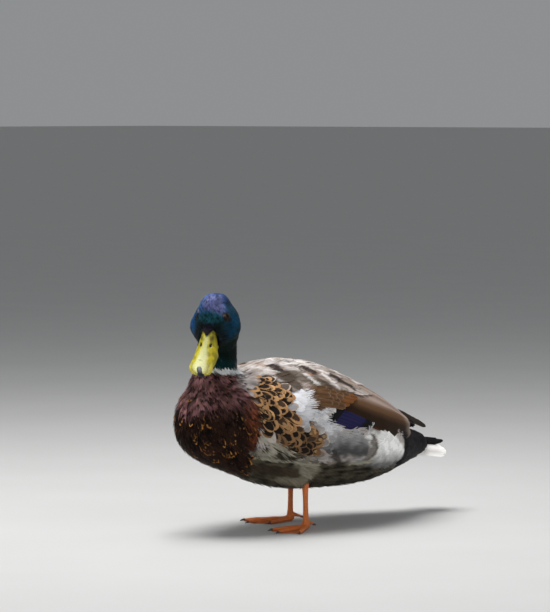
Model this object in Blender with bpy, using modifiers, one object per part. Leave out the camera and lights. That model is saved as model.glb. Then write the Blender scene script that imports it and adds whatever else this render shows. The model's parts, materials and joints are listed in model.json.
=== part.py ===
"""A mallard drake that stands on both feet with its head turned to its left: a still, life-size model.

Metres, +Z up. The drake faces -Y, and +X is its left side. Lengths along the body are given as distances
behind the middle of the neck's foot, and the origin is moved at the end to the floor, under the middle of the
whole bird. The feathered body is modelled whole, then parted with thin cuts.
"""

import math

import bmesh
import bpy
import numpy as np
from mathutils import Matrix, Vector

GAP, SLIVER = 0.0006, 0.00001

# Trunk: distance behind the neck, height of the back, of the widest line and of the belly, half width.
TRUNK = (
    (-0.0500, 0.1260, 0.1190, 0.1120, 0.0040),
    (-0.0475, 0.1390, 0.1190, 0.1010, 0.0165),
    (-0.0400, 0.1500, 0.1185, 0.0895, 0.0280),
    (-0.0200, 0.1640, 0.1170, 0.0770, 0.0430),
    (0.0050, 0.1710, 0.1155, 0.0680, 0.0548),
    (0.0350, 0.1745, 0.1140, 0.0585, 0.0660),
    (0.0650, 0.1785, 0.1120, 0.0475, 0.0730),
    (0.1000, 0.1805, 0.1090, 0.0410, 0.0765),
    (0.1400, 0.1710, 0.1050, 0.0390, 0.0760),
    (0.1800, 0.1570, 0.1005, 0.0385, 0.0710),
    (0.2200, 0.1385, 0.0940, 0.0415, 0.0610),
    (0.2500, 0.1185, 0.0875, 0.0475, 0.0490),
    (0.2750, 0.1035, 0.0815, 0.0535, 0.0370),
    (0.2950, 0.0950, 0.0785, 0.0590, 0.0280),
    (0.3100, 0.0905, 0.0775, 0.0640, 0.0220),
    (0.3180, 0.0865, 0.0770, 0.0680, 0.0150),
    (0.3200, 0.0810, 0.0765, 0.0720, 0.0060),
)
TRUNK_SQUARENESS = 2.12

# Folded wing: the same five sizes for the form that it lies on, then where its upper and lower edges run
# (degrees from the back's middle line, round the body) and its thickness.
WING = (
    (0.0420, 0.1765, 0.1140, 0.0570, 0.0685, 22.0, 44.0, 0.0030),
    (0.0560, 0.1785, 0.1130, 0.0510, 0.0730, 15.0, 66.0, 0.0060),
    (0.0750, 0.1805, 0.1120, 0.0460, 0.0770, 9.0, 78.0, 0.0080),
    (0.1050, 0.1825, 0.1090, 0.0410, 0.0800, 5.0, 87.0, 0.0090),
    (0.1400, 0.1735, 0.1060, 0.0400, 0.0795, 4.0, 96.0, 0.0090),
    (0.1750, 0.1615, 0.1010, 0.0420, 0.0745, 4.0, 101.0, 0.0085),
    (0.2050, 0.1490, 0.0970, 0.0450, 0.0670, 4.0, 93.0, 0.0075),
    (0.2350, 0.1340, 0.0930, 0.0510, 0.0560, 5.0, 80.0, 0.0065),
    (0.2650, 0.1185, 0.0900, 0.0600, 0.0420, 7.0, 68.0, 0.0055),
    (0.2850, 0.1080, 0.0890, 0.0700, 0.0310, 12.0, 60.0, 0.0045),
    (0.2980, 0.1010, 0.0880, 0.0760, 0.0230, 24.0, 48.0, 0.0025),
)
WING_EDGE = 0.0012

# Wing tip, the closed primaries: distance behind the neck, off the middle line, height, half width, thickness.
PRIMARIES = (
    (0.2480, 0.0130, 0.1130, 0.0075, 0.0024),
    (0.2700, 0.0125, 0.1070, 0.0080, 0.0024),
    (0.2900, 0.0115, 0.1020, 0.0075, 0.0022),
    (0.3080, 0.0100, 0.0975, 0.0055, 0.0018),
    (0.3180, 0.0085, 0.0950, 0.0025, 0.0012),
)

# Tail fan: distance behind the neck, height of its middle, half width, thickness, and the drop to its sides.
TAIL = (
    (0.2850, 0.0790, 0.0140, 0.0050, 0.0010),
    (0.3050, 0.0775, 0.0200, 0.0040, 0.0025),
    (0.3220, 0.0760, 0.0245, 0.0030, 0.0040),
    (0.3340, 0.0745, 0.0245, 0.0022, 0.0045),
    (0.3420, 0.0735, 0.0195, 0.0016, 0.0035),
    (0.3470, 0.0730, 0.0090, 0.0012, 0.0015),
)

# Black drake feathers over the tail: distance behind the neck, off the middle line, height, half width.
CURL = (
    (0.3000, 0.0060, 0.0860, 0.0045),
    (0.3140, 0.0065, 0.0830, 0.0050),
    (0.3260, 0.0070, 0.0795, 0.0042),
    (0.3350, 0.0075, 0.0785, 0.0030),
    (0.3415, 0.0080, 0.0805, 0.0014),
)
CURL_THICKNESS = 0.0012

# Neck: point on its axis (left, behind, up), then its half width and half depth.
NECK = (
    (0.0000, 0.0080, 0.1150, 0.0480, 0.0500),
    (0.0000, 0.0060, 0.1400, 0.0370, 0.0420),
    (0.0000, -0.0030, 0.1600, 0.0280, 0.0350),
    (0.0008, -0.0010, 0.1750, 0.0228, 0.0252),
    (0.0023, 0.0000, 0.1900, 0.0210, 0.0222),
    (0.0045, -0.0025, 0.2050, 0.0213, 0.0222),
    (0.0070, -0.0070, 0.2200, 0.0195, 0.0200),
)

# Head: where its frame stands, between the cheeks, and how it is turned left, bent down and tilted.
HEAD_AT = Vector((0.0096, -0.0122, 0.2262))
HEAD_TURN, HEAD_BEND, HEAD_TILT = 30.0, 35.0, 3.0
# Distance ahead of the cheeks, height of the crown and of the chin, half width, and how far the skull is
# pinched in above the cheeks.
HEAD = (
    (-0.0340, 0.0040, -0.0050, 0.0045, 0.00),
    (-0.0315, 0.0110, -0.0110, 0.0110, 0.02),
    (-0.0240, 0.0195, -0.0170, 0.0176, 0.05),
    (-0.0120, 0.0275, -0.0210, 0.0220, 0.16),
    (0.0020, 0.0305, -0.0225, 0.0280, 0.30),
    (0.0080, 0.0300, -0.0222, 0.0287, 0.32),
    (0.0130, 0.0285, -0.0215, 0.0265, 0.27),
    (0.0220, 0.0225, -0.0190, 0.0195, 0.20),
    (0.0290, 0.0168, -0.0165, 0.0130, 0.16),
    (0.0345, 0.0132, -0.0150, 0.0085, 0.10),
    (0.0385, 0.0112, -0.0140, 0.0040, 0.00),
)
HEAD_SQUARENESS = 2.15
EYE_AT, EYE_RADIUS = Vector((0.0124, -0.0130, 0.0175)), 0.0048

# Upper bill: distance ahead of the cheeks, height of the ridge and of the cutting edge, half width at the
# cutting edge, and how square its section is.
UPPER_BILL = (
    (0.0180, 0.0100, -0.0070, 0.0070, 2.0),
    (0.0280, 0.0126, -0.0074, 0.0094, 2.0),
    (0.0340, 0.0116, -0.0076, 0.0102, 2.0),
    (0.0405, 0.0084, -0.0077, 0.0104, 2.0),
    (0.0478, 0.0050, -0.0078, 0.0108, 2.1),
    (0.0550, 0.0023, -0.0079, 0.0116, 2.2),
    (0.0628, -0.0001, -0.0079, 0.0127, 2.4),
    (0.0696, -0.0016, -0.0077, 0.0132, 2.5),
    (0.0750, -0.0025, -0.0074, 0.0126, 2.5),
    (0.0790, -0.0033, -0.0071, 0.0104, 2.4),
    (0.0818, -0.0042, -0.0069, 0.0066, 2.2),
    (0.0829, -0.0053, -0.0066, 0.0025, 2.0),
)
# Lower bill: distance ahead of the cheeks, height of its top and of its underside, half width.
LOWER_BILL = (
    (0.0200, -0.0083, -0.0123, 0.0065),
    (0.0280, -0.0082, -0.0140, 0.0086),
    (0.0395, -0.0083, -0.0134, 0.0090),
    (0.0522, -0.0086, -0.0121, 0.0095),
    (0.0632, -0.0085, -0.0110, 0.0108),
    (0.0714, -0.0082, -0.0102, 0.0108),
    (0.0764, -0.0079, -0.0093, 0.0086),
    (0.0787, -0.0077, -0.0085, 0.0040),
)
# Nail at the bill's tip: distance ahead of the cheeks, height of its top and of its underside, half width.
NAIL = (
    (0.0736, -0.0018, -0.0036, 0.0022),
    (0.0768, -0.0022, -0.0050, 0.0036),
    (0.0800, -0.0029, -0.0072, 0.0041),
    (0.0828, -0.0040, -0.0082, 0.0037),
    (0.0843, -0.0056, -0.0084, 0.0022),
)

# Legs: where the left and right feet stand (off the middle line, behind the neck) and how far they toe out.
FOOT_AT = {"left": (0.034, 0.099), "right": (0.034, 0.148)}
TOE_OUT = {"left": 8.0, "right": 12.0}
ANKLE_HEIGHT, HEEL_HEIGHT = 0.0080, 0.0500
# Thigh: points down the leg as how far behind the foot (less than 0 is ahead) and height, then its half width
# and half depth.
THIGH = (
    (-0.0320, 0.0880, 0.0140, 0.0220),
    (-0.0240, 0.0720, 0.0135, 0.0210),
    (-0.0140, 0.0600, 0.0105, 0.0160),
    (-0.0060, 0.0520, 0.0075, 0.0100),
    (-0.0025, 0.0465, 0.0058, 0.0064),
)
# Front toes: name, angle outwards from straight ahead in degrees, length, radius at its root.
TOES = (("inner", -24.0, 0.041, 0.0027), ("middle", 2.0, 0.052, 0.0029), ("outer", 27.0, 0.049, 0.0027))
HIND_TOE_LENGTH, CLAW_LENGTH, CLAW_RADIUS = 0.009, 0.0062, 0.0013
WEB_TOP, WEB_BOTTOM, WEB_NOTCH = 0.0017, 0.0003, 0.86

COLOURS = {
    "trunk": (0.42, 0.38, 0.33),
    "neck": (0.01, 0.05, 0.04),
    "head": (0.02, 0.10, 0.16),
    "wing": (0.24, 0.18, 0.13),
    "primaries": (0.04, 0.03, 0.03),
    "tail": (0.75, 0.73, 0.70),
    "curl": (0.01, 0.01, 0.012),
    "bill": (0.72, 0.58, 0.07),
    "nail": (0.02, 0.02, 0.025),
    "eye": (0.02, 0.01, 0.008),
    "leg": (0.80, 0.22, 0.04),
    "claw": (0.06, 0.04, 0.03),
}
ROUGHNESS = {"bill": 0.4, "nail": 0.35, "eye": 0.05, "leg": 0.5, "claw": 0.4}


def clear_scene():
    for thing in list(bpy.data.objects):
        bpy.data.objects.remove(thing)


def collection(name):
    made = bpy.data.collections.new(name)
    bpy.context.scene.collection.children.link(made)
    return made


def material(kind):
    made = bpy.data.materials.get(kind) or bpy.data.materials.new(kind)
    made.use_nodes = True
    surface = made.node_tree.nodes["Principled BSDF"]
    surface.inputs["Base Color"].default_value = (*COLOURS[kind], 1)
    surface.inputs["Roughness"].default_value = ROUGHNESS.get(kind, 0.75)
    surface.inputs["Metallic"].default_value = 0.0
    return made


def eased(rows, at):
    """The sizes of a table at a distance, on smooth curves through its rows that never overshoot them."""
    rows = np.array(rows, float)
    x, y = rows[:, 0], rows[:, 1:]
    step = np.diff(x)
    slope = np.diff(y, axis=0) / step[:, None]
    tangent = np.vstack([slope[:1], np.zeros_like(slope[1:]), slope[-1:]])
    for i in range(1, len(x) - 1):
        same_way = slope[i - 1] * slope[i] > 0
        mean = 2 * slope[i - 1] * slope[i] / np.where(same_way, slope[i - 1] + slope[i], 1)
        tangent[i] = np.where(same_way, mean, 0)
    i = int(np.clip(np.searchsorted(x, at, side="right") - 1, 0, len(step) - 1))
    t = (at - x[i]) / step[i]
    start = (2 * t**3 - 3 * t**2 + 1) * y[i] + (t**3 - 2 * t**2 + t) * step[i] * tangent[i]
    end = (3 * t**2 - 2 * t**3) * y[i + 1] + (t**3 - t**2) * step[i] * tangent[i + 1]
    return start + end


def along(rows, count):
    """Distances from a table's first row to its last, closer together near the ends."""
    first, last = rows[0][0], rows[-1][0]
    return [first + (last - first) * (1 - math.cos(math.pi * k / (count - 1))) / 2 for k in range(count)]


def new_object(name, mesh, kind):
    made = bpy.data.objects.new(name, mesh)
    mesh.materials.clear()
    mesh.materials.append(material(kind))
    parts.objects.link(made)
    return made


def loft(name, rings, kind, frame=None):
    """A closed skin over rings of points, with a fan of faces over each end."""
    shape = bmesh.new()
    loops = [[shape.verts.new(p) for p in ring] for ring in rings]
    for one, two in zip(loops, loops[1:]):
        for k in range(len(one)):
            shape.faces.new((one[k - 1], one[k], two[k]))
            shape.faces.new((one[k - 1], two[k], two[k - 1]))
    for ring in (loops[0], loops[-1]):
        tip = shape.verts.new(sum((v.co for v in ring), Vector()) / len(ring))
        for k in range(len(ring)):
            shape.faces.new((ring[k - 1], ring[k], tip))
    bmesh.ops.recalc_face_normals(shape, faces=shape.faces)
    mesh = bpy.data.meshes.new(name)
    shape.to_mesh(mesh)
    shape.free()
    if frame is not None:
        mesh.transform(frame)
    mesh.shade_smooth()
    return new_object(name, mesh, kind)


def power(value, squareness):
    return math.copysign(abs(value) ** (2 / squareness), value)


def form_point(sizes, angle, squareness=TRUNK_SQUARENESS, inwards=0.0):
    """A point of a body section, at an angle from the middle of the back, round the left side."""
    top, middle, bottom, half_width = sizes
    height = (top - middle if math.cos(angle) > 0 else middle - bottom) - inwards
    sideways = (half_width - inwards) * power(math.sin(angle), squareness)
    return sideways, middle + height * power(math.cos(angle), squareness)


def body_form(name, rows, stations, sides, kind):
    rings = []
    for at in along(rows, stations):
        ring = []
        for k in range(sides):
            x, z = form_point(eased(rows, at), 2 * math.pi * k / sides)
            ring.append((x, at, z))
        rings.append(ring)
    return loft(name, rings, kind)


def tube(name, spine, kind, sides=16, stations=14, frame=None):
    """A lofted limb: rows of a point on its axis with its half width and half depth."""
    rows = [(k, *row) for k, row in enumerate(spine)]
    places = [eased(rows, (len(spine) - 1) * k / (stations - 1)) for k in range(stations)]
    rings = []
    for k, (x, y, z, half_width, half_depth) in enumerate(places):
        before, after = places[max(k - 1, 0)], places[min(k + 1, stations - 1)]
        way = Vector(after[:3] - before[:3])
        way.normalize()
        across = (Vector((1, 0, 0)) - way * way.x).normalized()
        deep = way.cross(across)
        turn = [2 * math.pi * s / sides for s in range(sides)]
        middle = Vector((x, y, z))
        rings.append([
            middle + across * half_width * math.cos(t) + deep * half_depth * math.sin(t) for t in turn
        ])
    return loft(name, rings, kind, frame)


def blob(name, middle, half_sizes, kind, frame=None, sides=28):
    mesh = bpy.data.meshes.new(name)
    shape = bmesh.new()
    bmesh.ops.create_uvsphere(shape, u_segments=sides, v_segments=sides * 2 // 3, radius=1)
    shape.to_mesh(mesh)
    shape.free()
    mesh.transform(Matrix.Translation(middle) @ Matrix.Diagonal((*half_sizes, 1)))
    if frame is not None:
        mesh.transform(frame)
    mesh.shade_smooth()
    return new_object(name, mesh, kind)


def settled(thing):
    """Makes an object's modifiers final."""
    graph = bpy.context.evaluated_depsgraph_get()
    mesh = bpy.data.meshes.new_from_object(thing.evaluated_get(graph))
    thing.modifiers.clear()
    old, thing.data = thing.data, mesh
    bpy.data.meshes.remove(old)
    return thing


def tidy(thing):
    """Closes up the slivers that a Boolean leaves where two surfaces nearly touch."""
    shape = bmesh.new()
    shape.from_mesh(thing.data)
    bmesh.ops.remove_doubles(shape, verts=shape.verts, dist=SLIVER)
    bmesh.ops.dissolve_degenerate(shape, edges=shape.edges, dist=SLIVER)
    shape.to_mesh(thing.data)
    shape.free()


def boolean(host, other, operation):
    step = host.modifiers.new(operation.lower(), "BOOLEAN")
    step.operation = operation
    step.solver = "EXACT"
    step.object = other
    settled(host)
    tidy(host)


def grown(thing, by=GAP):
    """A copy that stands this far outside the object, to cut its neighbours back with."""
    copy = bpy.data.objects.new(thing.name + "_cutter", thing.data.copy())
    cutters.objects.link(copy)
    copy.hide_render = True
    copy.display_type = "WIRE"
    moves = [v.normal * by for v in copy.data.vertices]
    for vertex, move in zip(copy.data.vertices, moves):
        vertex.co += move
    return copy


def carve(host, *plugs):
    """Cuts room for the plugs out of the host, with a thin gap all round."""
    for plug in plugs:
        cutter = grown(plug)
        boolean(host, cutter, "DIFFERENCE")
        bpy.data.objects.remove(cutter)


def split(thing, point, normal, near, far):
    """Parts a closed solid with a thin plane cut. The near piece lies behind the plane's normal."""
    made = []
    for name, side in ((near, -1), (far, 1)):
        mesh = thing.data.copy()
        shape = bmesh.new()
        shape.from_mesh(mesh)
        cut = bmesh.ops.bisect_plane(
            shape,
            geom=[*shape.verts, *shape.edges, *shape.faces],
            plane_co=Vector(point) + Vector(normal).normalized() * side * GAP / 2,
            plane_no=normal,
            clear_outer=side < 0,
            clear_inner=side > 0,
        )
        rim = [e for e in cut["geom_cut"] if isinstance(e, bmesh.types.BMEdge)]
        bmesh.ops.edgenet_fill(shape, edges=rim)
        bmesh.ops.recalc_face_normals(shape, faces=shape.faces)
        shape.to_mesh(mesh)
        shape.free()
        made.append(new_object(name, mesh, name.split("_")[0]))
    bpy.data.objects.remove(thing)
    return made


def mirrored(thing, name):
    """The same piece for the right side."""
    mesh = thing.data.copy()
    mesh.transform(Matrix.Diagonal((-1, 1, 1, 1)))
    mesh.flip_normals()
    made = bpy.data.objects.new(name, mesh)
    parts.objects.link(made)
    return made


def head_frame():
    turn = Matrix.Rotation(math.radians(HEAD_TURN), 4, "Z")
    bend = Matrix.Rotation(math.radians(HEAD_BEND), 4, "X")
    tilt = Matrix.Rotation(math.radians(HEAD_TILT), 4, "Y")
    return Matrix.Translation(HEAD_AT) @ turn @ bend @ tilt


def grow_together(name, pieces, voxel, smoothing, triangles):
    """Grows overlapping closed forms into one smooth solid."""
    whole = pieces[0]
    shape = bmesh.new()
    for piece in pieces:
        shape.from_mesh(piece.data)
    shape.to_mesh(whole.data)
    shape.free()
    for piece in pieces[1:]:
        bpy.data.objects.remove(piece)
    whole.name = name
    remesh = whole.modifiers.new("one surface", "REMESH")
    remesh.mode = "VOXEL"
    remesh.voxel_size = voxel
    smooth = whole.modifiers.new("soften", "SMOOTH")
    smooth.factor = 0.5
    smooth.iterations = smoothing
    settled(whole)
    thin = whole.modifiers.new("fewer faces", "DECIMATE")
    thin.ratio = triangles / (2 * len(whole.data.polygons))
    settled(whole)
    return whole


def lens_section(top, bottom, half_width, sides, squareness=2.0):
    middle, half_height = (top + bottom) / 2, (top - bottom) / 2
    turns = [2 * math.pi * k / sides for k in range(sides)]
    return [
        (half_width * power(math.sin(t), squareness), middle + half_height * power(math.cos(t), squareness))
        for t in turns
    ]


def head_loft(name, rows, stations, sides, kind, section):
    """A loft in the head's frame, from a table of distances ahead of the cheeks."""
    rings = []
    for at in along(rows, stations):
        rings.append([(x, -at, z) for x, z in section(*eased(rows, at), sides)])
    return loft(name, rings, kind, head_frame())


def bill_section(ridge, edge, half_width, squareness, sides):
    """An arched upper half over a flat underside."""
    arch = sides - 4
    ring = []
    for k in range(arch + 1):
        turn = math.pi * (k / arch - 0.5)
        height = (ridge - edge) * math.cos(turn) ** (2 / squareness * 1.15)
        ring.append((half_width * power(math.sin(turn), squareness), edge + height))
    for k in (3, 2, 1):
        ring.append((half_width * (k / 2 - 1) * 0.9, edge + 0.0004))
    return ring


def head_section(top, chin, half_width, pinch, sides):
    """Wide at the cheeks and narrower over the skull."""
    ring = []
    for x, z in lens_section(top, chin, half_width, sides, HEAD_SQUARENESS):
        height = (2 * z - top - chin) / (top - chin)
        rise = min(max((height + 0.4) / 0.9, 0), 1)
        ring.append((x * (1 - pinch * rise * rise * (3 - 2 * rise)), z))
    return ring


def make_eye(side, name):
    at = Vector((side * EYE_AT.x, EYE_AT.y, EYE_AT.z))
    return blob(name, at, (EYE_RADIUS,) * 3, "eye", head_frame(), sides=12)


def make_wing(name, room=0.0):
    """A folded wing: a shell that thins to its edges, laid round the body form from the back to the flank.

    Room makes it larger all round, for a cutter.
    """
    points, rings = 8, []
    places = along(WING, 14)
    for at in places:
        *sizes, upper, lower, thickness = eased(WING, at)
        widen = math.degrees(room / sizes[3])
        upper, lower = math.radians(upper - widen), math.radians(lower + widen)
        outer, inner = [], []
        ahead = at + room * (2 * (at - places[0]) / (places[-1] - places[0]) - 1)
        for k in range(points):
            share = k / (points - 1)
            angle = upper + (lower - upper) * share
            swell = math.sin(math.pi * share) ** 0.5 if 0 < share < 1 else 0.0
            depth = min(WING_EDGE, thickness) + max(thickness - WING_EDGE, 0) * swell
            x, z = form_point(sizes, angle, inwards=-room)
            outer.append((x, ahead, z))
            x, z = form_point(sizes, angle, inwards=depth + room)
            inner.append((x, ahead, z))
        rings.append(outer + inner[::-1])
    return loft(name, rings, "wing")


def make_blade(name, rows, stations, kind, drop=False):
    """A flat pointed vane: rows of distance, offset, height, half width and thickness."""
    rings, half = [], 3
    for at in along(rows, stations):
        offset, height, half_width, thickness, fall = eased(rows, at)
        upper, under = [], []
        for k in range(half + 1):
            share = 2 * k / half - 1
            thin = thickness * (1 - 0.6 * share * share) / 2
            x, z = offset + half_width * share, height - fall * share * share
            upper.append((x, at, z + thin))
            under.append((x, at, z - thin))
        rings.append(upper + under[::-1])
    return loft(name, rings, kind)


def make_tail():
    rows = [(at, 0.0, height, half_width, thickness, drop) for at, height, half_width, thickness, drop in TAIL]
    return make_blade("tail", rows, 9, "tail")


def make_primaries(name):
    return make_blade(name, [(*row, 0.0015) for row in PRIMARIES], 7, "primaries")


def make_curl(name):
    return make_blade(name, [(*row, CURL_THICKNESS, 0.0012) for row in CURL], 7, "curl")


def toe_points(start, angle, length, radius):
    """A toe's axis and radii, from its root to its tip, with a pad under each joint."""
    way = Vector((math.sin(math.radians(angle)), -math.cos(math.radians(angle)), 0))
    rows = []
    for share, swell, rise in ((0, 1.15, 0.0004), (0.3, 1, 0.0003), (0.36, 1.12, 0.0003), (0.62, 0.9, 0),
                               (0.68, 1.02, 0), (0.9, 0.78, 0), (1, 0.5, 0)):
        middle = start + way * length * share
        rows.append((middle.x, middle.y, radius * 0.8 + rise, radius * swell, radius * swell))
    return rows, way


def make_foot(side):
    """A webbed foot with its hind toe and claws, its soles flat on the floor."""
    across, behind = FOOT_AT[side]
    root = Vector((across, behind, 0))
    turn = TOE_OUT[side]
    name = f"foot_{side}"
    knob = blob(name, (root.x, root.y, 0.0047), (0.0042, 0.0056, 0.0052), "leg", sides=10)
    claws, ends, pieces = [], [], []
    for toe, angle, length, radius in TOES:
        rows, way = toe_points(root, angle + turn, length, radius)
        pieces.append(tube("toe", rows, "leg", sides=8, stations=8))
        end = root + way * length
        ends.append((end, way))
        claws.append(make_claw(f"claw_{toe}_{side}", end, way, 0.0024))
    back = Vector((-math.sin(math.radians(turn)), math.cos(math.radians(turn)), 0))
    hind_root, hind_end = root + back * 0.002, root + back * (0.004 + HIND_TOE_LENGTH)
    hind = [
        (hind_root.x, hind_root.y, 0.0085, 0.0022, 0.0022),
        (*(hind_root.lerp(hind_end, 0.5)).xy, 0.0062, 0.0021, 0.0021),
        (hind_end.x, hind_end.y, 0.0042, 0.0012, 0.0012),
    ]
    pieces.append(tube("hind_toe", hind, "leg", sides=8, stations=5))
    claws.append(make_claw(f"claw_hind_{side}", Vector((hind_end.x, hind_end.y, 0)), back, 0.0040))
    pieces.append(make_web(root, ends))
    foot = grow_together(name, [knob, *pieces], 0.0007, 1, 420)
    level_sole(foot)
    return foot, claws


def level_sole(foot):
    """Cuts a foot off flat along the floor."""
    bpy.ops.mesh.primitive_cube_add(size=1, location=(0, 0.1, -0.5))
    floor = bpy.context.active_object
    boolean(foot, floor, "DIFFERENCE")
    bpy.data.objects.remove(floor)


def make_web(root, ends):
    """The skin between the three front toes, with a hollow edge between the tips."""
    outline = [root + Vector((0, 0.001, 0))]
    for k, (end, way) in enumerate(ends):
        outline.append(root.lerp(end, 0.97))
        if k + 1 < len(ends):
            for share in (0.25, 0.5, 0.75):
                chord = end.lerp(ends[k + 1][0], share)
                hollow = 1 - (1 - WEB_NOTCH) * 4 * share * (1 - share)
                outline.append(root.lerp(chord, hollow))
    shape = bmesh.new()
    low = [shape.verts.new((p.x, p.y, WEB_BOTTOM)) for p in outline]
    high = [shape.verts.new((p.x, p.y, WEB_TOP)) for p in outline]
    for level in (low, high):
        for a, b in zip(level[1:], level[2:]):
            shape.faces.new((level[0], a, b))
    for k in range(len(low)):
        shape.faces.new((low[k - 1], low[k], high[k], high[k - 1]))
    bmesh.ops.recalc_face_normals(shape, faces=shape.faces)
    mesh = bpy.data.meshes.new("web")
    shape.to_mesh(mesh)
    shape.free()
    return new_object("web", mesh, "leg")


def make_claw(name, end, way, height):
    rows = []
    for share, fall, size in ((0.08, 0, 0.8), (0.25, 0, 1), (0.5, 0.0003, 0.75), (0.85, 0.0010, 0.42),
                              (1, 0.0014, 0.3)):
        middle = end + way * CLAW_LENGTH * share
        rows.append((middle.x, middle.y, height - fall, CLAW_RADIUS * size, CLAW_RADIUS * size * 1.1))
    return tube(name, rows, "claw", sides=6, stations=4)


def make_leg(side):
    """Shank and feathered thigh, in the place of the left leg."""
    across, behind = FOOT_AT[side]
    ankle = (across, behind, ANKLE_HEIGHT)
    heel = (across - 0.001, behind, HEEL_HEIGHT)
    rows = []
    for share, width, depth in ((0, 0.0034, 0.0040), (0.15, 0.0028, 0.0033), (0.5, 0.0025, 0.0031),
                                (0.82, 0.0030, 0.0038), (0.95, 0.0038, 0.0048), (1.1, 0.0036, 0.0044)):
        rows.append((*(a + (b - a) * share for a, b in zip(ankle, heel)), width, depth))
    shank = tube(f"shank_{side}", rows, "leg", sides=9, stations=8)
    spine = [
        (across - 0.001 + 0.004 * k / (len(THIGH) - 1) - 0.003, behind + back, up, width, depth)
        for k, (back, up, width, depth) in enumerate(THIGH)
    ]
    thigh = tube(f"thigh_{side}", spine, "trunk", sides=11, stations=7)
    return shank, thigh


def flip_to_right(pieces):
    for piece in pieces:
        piece.data.transform(Matrix.Diagonal((-1, 1, 1, 1)))
        piece.data.flip_normals()


def make_legs():
    """Both legs. Each is shaped on the left side, and the right one is then turned over."""
    legs = []
    for side in ("left", "right"):
        foot, claws = make_foot(side)
        shank, thigh = make_leg(side)
        carve(foot, shank)
        if side == "right":
            flip_to_right([foot, shank, thigh, *claws])
        legs.append((shank, thigh))
    return legs


def make_bill():
    upper = head_loft("bill_upper", UPPER_BILL, 15, 16, "bill", bill_section)
    lower = head_loft("bill_lower", LOWER_BILL, 11, 12, "bill", lens_section)
    nail = head_loft("bill_nail", NAIL, 7, 12, "nail", lens_section)
    carve(upper, nail)
    carve(lower, upper, nail)
    return upper, lower


def make_body():
    """Head, neck and trunk are grown together, then parted at the throat and at the collar."""
    trunk = body_form("trunk_form", TRUNK, 44, 48, "trunk")
    neck = tube("neck_form", NECK, "neck", sides=28, stations=18)
    head = head_loft("head_form", HEAD, 24, 32, "head", head_section)
    whole = grow_together("whole", [trunk, neck, head], 0.0026, 6, 2300)
    collar, collar_lean = (0, 0, 0.1740), (0, -0.30, 1)
    lower, upper = split(whole, collar, collar_lean, "trunk", "upper")
    frame = head_frame()
    throat = frame @ Vector((0, 0.004, -0.0225))
    throat_lean = frame.to_3x3() @ Vector((0, 0.15, 1))
    neck, head = split(upper, throat, throat_lean, "neck", "head")
    return lower, neck, head


def stand_on_floor():
    """Puts the origin on the floor, under the middle of the whole bird."""
    corners = [Vector(c) for thing in parts.objects for c in thing.bound_box]
    low = [min(c[k] for c in corners) for k in range(3)]
    high = [max(c[k] for c in corners) for k in range(3)]
    shift = Vector((-(low[0] + high[0]) / 2, -(low[1] + high[1]) / 2, -low[2]))
    for thing in parts.objects:
        thing.data.transform(Matrix.Translation(shift))
        thing.data.shade_smooth()
        thing.data.set_sharp_from_angle(angle=math.radians(40))
    print("origin moved by", tuple(round(s, 5) for s in shift))


def make_drake():
    COLOURS["upper"] = COLOURS["neck"]
    trunk, neck, head = make_body()
    wing = make_wing("wing_left")
    primaries = make_primaries("primaries_left")
    curl = make_curl("curl_left")
    tail = make_tail()
    carve(wing, primaries)
    carve(tail, curl)
    mirrored(wing, "wing_right")
    room = make_wing("room_left", GAP)
    rooms = [room, mirrored(room, "room_right")]
    tips = [primaries, mirrored(primaries, "primaries_right")]
    curls = [curl, mirrored(curl, "curl_right")]
    carve(tail, curls[1])
    for form in (trunk, neck):
        for room in rooms:
            boolean(form, room, "DIFFERENCE")
    for room in rooms:
        bpy.data.objects.remove(room)
    carve(trunk, *tips, tail, *curls)
    for shank, thigh in make_legs():
        carve(trunk, shank, thigh)
        carve(thigh, shank)
    upper, lower = make_bill()
    eyes = [make_eye(1, "eye_left"), make_eye(-1, "eye_right")]
    carve(head, upper, lower, *eyes)


clear_scene()
parts = collection("mallard")
cutters = collection("cutters")
cutters.hide_render = True
make_drake()
stand_on_floor()
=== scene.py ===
"""A standing mallard drake in partly changed plumage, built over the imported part."""

import json
import math
from types import SimpleNamespace

import bmesh
import bpy
import numpy as np
from mathutils import Matrix, Vector
from mathutils.bvhtree import BVHTree
from mathutils.kdtree import KDTree

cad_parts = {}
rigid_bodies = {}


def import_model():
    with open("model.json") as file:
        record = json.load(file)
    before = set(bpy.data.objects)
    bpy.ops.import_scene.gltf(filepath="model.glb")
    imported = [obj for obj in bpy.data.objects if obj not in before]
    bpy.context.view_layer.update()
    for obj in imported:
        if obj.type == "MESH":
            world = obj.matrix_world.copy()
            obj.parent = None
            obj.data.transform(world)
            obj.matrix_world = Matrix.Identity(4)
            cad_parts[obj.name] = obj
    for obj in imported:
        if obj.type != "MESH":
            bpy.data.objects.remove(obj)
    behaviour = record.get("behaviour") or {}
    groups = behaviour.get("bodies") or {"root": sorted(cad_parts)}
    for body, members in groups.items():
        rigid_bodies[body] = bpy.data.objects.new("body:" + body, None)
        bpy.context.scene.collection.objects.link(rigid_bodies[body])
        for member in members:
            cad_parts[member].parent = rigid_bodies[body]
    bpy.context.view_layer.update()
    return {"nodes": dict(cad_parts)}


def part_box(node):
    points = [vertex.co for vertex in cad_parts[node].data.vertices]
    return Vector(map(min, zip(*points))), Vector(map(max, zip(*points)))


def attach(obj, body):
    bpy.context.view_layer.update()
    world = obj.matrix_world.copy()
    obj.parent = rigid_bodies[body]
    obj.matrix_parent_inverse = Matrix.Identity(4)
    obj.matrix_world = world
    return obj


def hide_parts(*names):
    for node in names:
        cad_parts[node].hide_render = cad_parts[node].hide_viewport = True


for thing in list(bpy.data.objects):
    bpy.data.objects.remove(thing)
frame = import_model()
nodes = frame["nodes"]

# Lengths along the bird are given behind the middle of the neck's foot.
NECK_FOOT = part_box("primaries_left")[0].y - 0.248

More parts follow.
